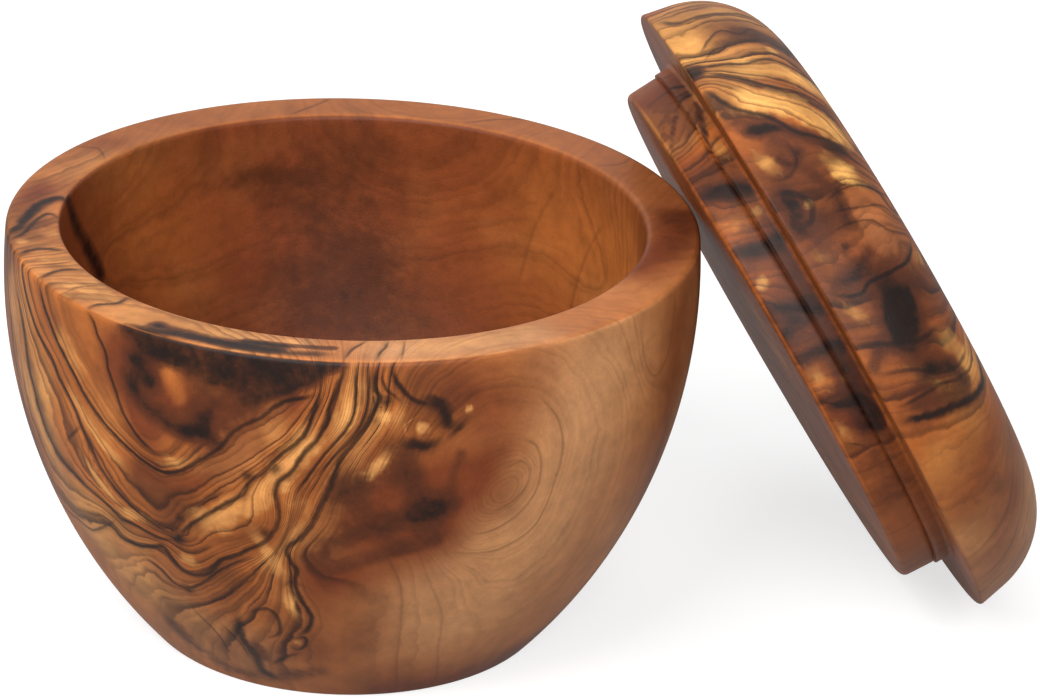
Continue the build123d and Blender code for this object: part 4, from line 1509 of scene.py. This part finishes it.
LID_SPIGOT = on(
    SPIGOT,
    flow(2.0, (3, 0.5), (3, 2.7), (9, 5.6), (15, 8)),
    ink(1.3, 0.7, (28, 8.4), (31, 5), (34, 1.6), (36, -0.4), level=5.6),
    ink(1.2, 0.8, (43, 8.4), (45, 6), (46, 2.6), (47, 0)),
    ink(0.7, 0.88, (54, 8.4), (58, 6), (61, 2.6), (63, 0), level=10.0), ink(1.1, 0.97, (69, 8.4), (69, 6)),
    ink(0.8, 0.88, (69, 5.4), (69, 2.6), (70.5, 0), level=12.0),
    ink(0.55, 0.8, (77, 8.4), (81, 5.4), (82, 3.4), (84, 1)),
    ink(1.25, 0.92, (84, 4.4), (87, 3.4), (88, 1.4), (86, 0), level=14.4),
    ink(0.5, 0.7, (88, 8), (90, 6), (92, 5)), flow(17.0, (104, 8), (104, 1)), flow(19.4, (124, 8), (124, 1)),
    flow(21.0, (170, 8), (170, 1)), flow(18.0, (215, 8), (215, 1)), flow(13.0, (260, 8), (260, 1)),
    flow(7.0, (305, 8), (305, 1)), flow(3.6, (332, 8), (332, 1)),
    ink(0.8, 0.7, (232, 8.4), (234, 4), (235, 0)), ink(0.9, 0.7, (272, 8.4), (270, 4), (272, 0)),
    ink(0.7, 0.7, (318, 8.4), (320, 4), (320, 0)),
    heart(6.0, 0.5, (-6, 4), (8, 5)), heart(3.0, -0.6, (18, 2.4), (25, 2)), heart(2.4, -0.6, (38, 5.6)),
    heart(2.2, -0.6, (40, 1.4)), heart(2.6, -0.6, (51, 5)), heart(2.0, -0.5, (56, 2)),
    heart(2.2, -0.5, (74, 5)), heart(5.0, 0.5, (46, 2), (58, 2), (70, 3), (84, 3)), heart(4.0, -0.6, (38, 5)),
    heart(3.5, -0.5, (73, 6), (63, 6)),
    pale(14.0, 0.3, (110, 4), (150, 4)),
    lively(6.0, -0.5, (-8, 4), (6, 4)), lively(12.0, 0.7, (5, 4), (50, 4), (84, 4)),
    smoke(0.6, 1.2, (3, -0.5), (3, 2.7), (9, 5.6), (15, 8)), smoke(0.5, 0.9, (1, 0.6), (1, 4.5), (5, 8)),
    smoke(0.5, 0.9, (5, 0), (12, 1.4), (17, 2.2), (23, 4)), smoke(0.6, 1.1, (-2, 0.6), (-5, 3.1), (-4, 7.1)),
    smoke(0.45, 0.8, (8, 2.6), (13, 4), (20, 6)), smoke(0.45, 0.7, (-12, 1), (-14, 4), (-18, 7)),
    smoke(1.6, 0.9, (63, 7), (62, 4.4)), smoke(1.1, 0.9, (31, 4.4), (33, 3.6)),
    smoke(1.2, 0.9, (30, 8), (31, 4), (34, 0.5)), smoke(1.3, 0.95, (44, 8.4), (46, 4), (46, 0.4)),
    smoke(1.5, 0.8, (57, 8), (59, 5), (61, 1)), smoke(1.1, 0.8, (68, 8), (69, 4), (70, 0.4)),
    smoke(1.2, 0.8, (80, 6), (82, 3), (86, 1)), smoke(7.0, 0.32, (30, 4), (60, 4), (88, 4), (104, 4)),
    smoke(1.8, 0.55, (48, 1.8), (60, 1.8), (70, 2.2), (84, 2.2)),
    gold(1.1, 0.5, (38.5, 6), (39.5, 4.6)), gold(1.2, 0.6, (72, 6.8), (75, 6.2)), gold(1.0, 0.45, (52, 6.6)),
    gold(0.9, 0.5, (84, 7.4), (87, 7)), gold(0.8, 0.5, (20, 1.6), (24, 1.2)), gold(0.7, 0.45, (39, 1.6)),
    gold(0.7, 0.4, (76, 3)),
)
LID_SHOULDER = on(
    SHOULDER,
    ink(1.2, 0.95, (12.6, 54.8), (9, 52)), ink(0.4, 0.8, (8, 52), (4, 47)), ink(0.34, 0.7, (4, 52), (-3, 47)),
)
LID_END = on(
    END,
    smoke(1.1, 0.36, (16, 45.5), (20, 38), (34, 30), (60, 24)),
    smoke(1.6, 0.36, (44, 45), (50, 36), (68, 28), (96, 26)),
    smoke(2.0, 0.38, (72, 45), (80, 36), (98, 30), (120, 30)), smoke(1.0, 0.3, (90, 45), (98, 38), (112, 36)),
)
LID_FIGURE = LID_DOME + LID_CROWN + LID_SPIGOT + LID_SHOULDER + LID_END

# How much heart, life and paleness each face has where no patch adds to it or takes from it. The inside's
# high heart share is partly its darker wood and partly painted shade over the whole hollow.
BOWL_GROUND = {OUT: (0.12, 0.12, 0.0), RIM: (0.12, 0.12, 0.2), INSIDE: (0.95, 0.24, 0.0)}
LID_GROUND = {
    DOME: (0.24, 0.25, 0.05), SHOULDER: (0.4, 0.4, 0.0), SPIGOT: (0.62, 0.22, 0.0), END: (0.35, 0.35, 0.1),
}

BOWL_WOOD = FiguredWood(
    name="bowl_olive_wood", pale=(0.81, 0.58, 0.39), honey=(0.77, 0.45, 0.21), heart=(0.46, 0.22, 0.11),
    umber=(0.30, 0.15, 0.08), soot=(0.08, 0.045, 0.035), gold=(0.93, 0.66, 0.38), wander=0.34)
LID_WOOD = FiguredWood(
    name="lid_olive_wood", pale=(0.73, 0.50, 0.34), honey=(0.76, 0.42, 0.17), heart=(0.43, 0.20, 0.10),
    umber=(0.28, 0.14, 0.08), soot=(0.08, 0.045, 0.035), gold=(0.98, 0.73, 0.40), wander=0.4)


def make_piece(piece: TurnedPiece, lathe: Lathe, wood: bpy.types.Material) -> bpy.types.Object:
    """Turns a piece, lays its figure on it and puts it in its place.

    Args:
        piece: The piece.
        lathe: The lathe.
        wood: Its material.

    Returns:
        The finished object.
    """
    made = lathe.turn(piece.name + "_turned", piece.profile(), piece.steps, wood)
    mesh = made.data
    count = len(mesh.vertices)
    points, outward = np.empty(count * 3, np.float32), np.empty(count * 3, np.float32)
    mesh.vertices.foreach_get("co", points)
    mesh.vertices.foreach_get("normal", outward)
    FigureMap(piece, points.reshape(-1, 3) / MM, outward.reshape(-1, 3)).write(mesh)
    mesh.transform(piece.placement())
    mesh.update()
    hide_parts(piece.name)
    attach(made, piece.body)
    log.info("%s: %d points, %d faces", made.name, count, len(mesh.polygons))
    return made


def main() -> None:
    """Builds the pieces and the studio."""
    logging.basicConfig(level=logging.INFO, format="%(name)s: %(message)s")
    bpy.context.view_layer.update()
    bpy.context.scene.view_settings.view_transform = "Standard"
    lathe, woods = Lathe(), WoodWorks()
    bowl = Bowl(name="bowl", body="bowl", wood_slot="bowl_wood", steps=430,
                strands=BOWL_FIGURE_AND_PAINTED_LIGHT, ground=BOWL_GROUND)
    lid = Lid(name="lid", body="lid", wood_slot="lid_wood", steps=540,
              strands=LID_FIGURE, ground=LID_GROUND)
    make_piece(bowl, lathe, woods.material(BOWL_WOOD))
    make_piece(lid, lathe, woods.material(LID_WOOD))
    Studio().build()


if __name__ == "__main__":
    main()
